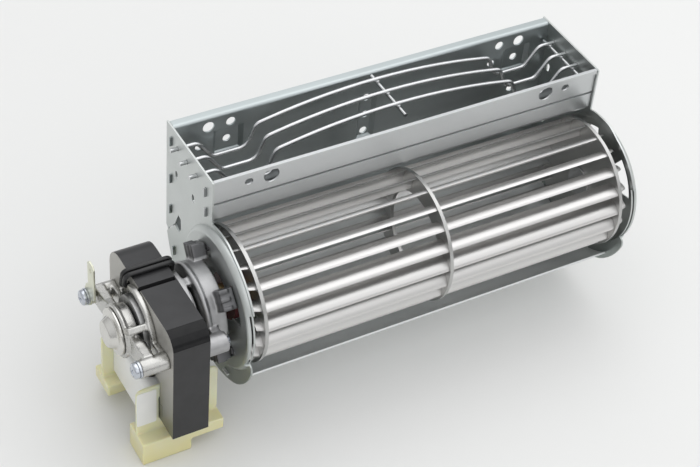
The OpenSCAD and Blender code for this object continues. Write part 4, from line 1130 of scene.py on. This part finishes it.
def make_earth_tab(finish):
    """The flat earth blade under the rear screw's head."""
    y, z = SCREWS[1]
    top = TAB_TOP
    half_turn = [math.radians(170 + 10 * i) for i in range(19)]
    around = [(*spot, 0) for spot in arc_points(y, z, TAB_EYE_R, half_turn)]
    corners = [*around, (y + 1, 4, 1), (y - 1.3, 6, 1), (y - 1.3, top - 1.5, 0.4), (y - 2.8, top, 0.6),
               (y - 6.1, top, 0.6), (y - 7.6, top - 1.5, 0.4), (y - 7.6, 1.5, 1.5)]
    hole = disc_points(y - 4.45, top - 4, TAB_HOLE_R, 24)
    bore = disc_points(y, z, TAB_BORE_R, 32)
    turn = Matrix(((0, 0, 1), (1, 0, 0), (0, 1, 0)))
    outlines = [rounded_outline(corners, 3), hole, bore]
    tab = cut_sheet("earth_blade", outlines, TAB_T, 0.15, turn, at(TAB_X, 0, 0))
    hand_over(tab, finish, HOUSING, "terminal_brass", "earth_tab")


# Dressing

SHEET_EASE, STACK_EASE, DISC_EASE = 0.14, 0.2, 0.2


def dress(names, material):
    """Gives CAD nodes a finish."""
    for name in names:
        mesh = NODES[name].data
        mesh.materials.clear()
        mesh.materials.append(material)


# The relief opening in each end plate, behind the dish, and the slit from it to the rear edge
PLATE_OPENING = [(41.4, 11.3), (39.2, 10.4), (38.8, 5.1), (40.5, 2.0), (45.2, 3.0)]
PLATE_SLIT = [(45.02, 2.85), (45.38, 3.15), (51.45, -4.27), (51.15, -4.53)]
PLATE_CUT_X = (91.9, 93.9)


def dress_sheets():
    """The folded sheets and the end plates, with their cut edges eased."""
    duct = duct_steel()
    panel = galvanised_steel("panel_sheet", (0.60, 0.615, 0.62), 0.40)
    plate = plate_steel()
    eased("scroll_sheet", "scroll_sheet_eased", SHEET_EASE, duct)
    eased("outlet_front_panel", "front_panel_eased", SHEET_EASE, panel)
    eased("tongue_sheet", "tongue_sheet_eased", SHEET_EASE, panel)
    for side, end in ((-1, "motor"), (1, "bearing")):
        span = [side * x for x in PLATE_CUT_X]
        cuts = [prism_parts(outline, *span) for outline in (PLATE_OPENING, PLATE_SLIT)]
        eased(f"{end}_end_plate", f"{end}_end_plate_eased", SHEET_EASE, plate,
              slot="plate_steel", cuts=cuts)


def dress_motor():
    """The stack and its rings, the coil, the two castings and what they carry."""
    stack = laminated_steel()
    eased("stator_core", "stack_eased", STACK_EASE, stack, slot="stack_steel")
    dress(["coil_core", "rotor_core"], stack)
    make_shading_loops(black_varnish())
    make_corner_band(glossy_black())
    cast("coil_bobbin", "moulded_bobbin", MOULD_VOXEL, 2, ivory_nylon(), "bobbin_nylon")
    dress(["coil_wrap"], white_film("white_film", 0.86))
    make_label(white_film("label_paper", 0.90))
    make_outer_bracket(die_cast("outer_casting", (0.58, 0.575, 0.555), 0.28))
    make_inner_bracket(die_cast("inner_casting", (0.45, 0.45, 0.455), 0.42, dark_lugs=True))
    make_bearing_cap(plain_finish("nickel_cap", (0.68, 0.67, 0.64), (0.64, 0.63, 0.60), 1.0, 0.2))
    zinc = plain_finish("zinc_screw", (0.62, 0.65, 0.70), (0.46, 0.49, 0.55), 1.0, 0.24)
    make_screws(zinc)
    dress(["screw_washers"], zinc)
    tinned = plain_finish("tinned_brass", (0.74, 0.75, 0.62), (0.60, 0.60, 0.48), 1.0, 0.32)
    make_earth_tab(tinned)
    dress(["coil_terminals"], tinned)


def dress_wheel():
    """The wheel's blades and its three discs."""
    blade = rolled_aluminium("blade_aluminium", (0.70, 0.69, 0.68), 0.42)
    disc = rolled_aluminium("disc_aluminium", (0.52, 0.52, 0.51), 0.34)
    make_blades(blade)
    for name in [n for n in NODES if n.startswith("wheel_disc")]:
        eased(name, name.replace("wheel_disc", "disc") + "_eased", DISC_EASE, disc,
              IMPELLER, "wheel_aluminium")


# Each: the nodes, and their finish's name, two colours, metallic and roughness
SMALL_PARTS = (
    (["bearing_bush", "outer_bush", "inner_bush"],
     ("sintered_bronze", (0.42, 0.30, 0.18), (0.30, 0.20, 0.12), 0.8, 0.55)),
    (["bearing_rubber_mount"], ("mount_rubber", (0.03, 0.03, 0.03), (0.05, 0.05, 0.05), 0.0, 0.6)),
    (["drive_hub_rubber"], ("red_silicone", (0.12, 0.008, 0.010), (0.08, 0.006, 0.008), 0.0, 0.45)),
    (["drive_hub_sleeve"], ("turned_brass", (0.62, 0.48, 0.24), (0.52, 0.38, 0.18), 1.0, 0.3)),
    (["motor_shaft", "stub_shaft"], ("ground_steel", (0.60, 0.60, 0.61), (0.5, 0.5, 0.5), 1.0, 0.22)),
    (["rotor_cage"], ("cast_cage", (0.55, 0.55, 0.55), (0.42, 0.42, 0.42), 1.0, 0.4)),
    (["coil_winding"], ("enamelled_copper", (0.50, 0.20, 0.08), (0.35, 0.12, 0.05), 0.8, 0.35)),
)


def dress_small_parts():
    """The shafts, bushes, hub and other small pieces that keep their own meshes."""
    for names, finish in SMALL_PARTS:
        dress(names, plain_finish(*finish))


bpy.context.scene.view_settings.view_transform = "Standard"
set_camera()
for box in SOFT_BOXES:
    soft_box(*box)
set_world()
lay_floor()
make_guard(bright_wire())
dress_sheets()
dress_wheel()
dress_motor()
dress_small_parts()
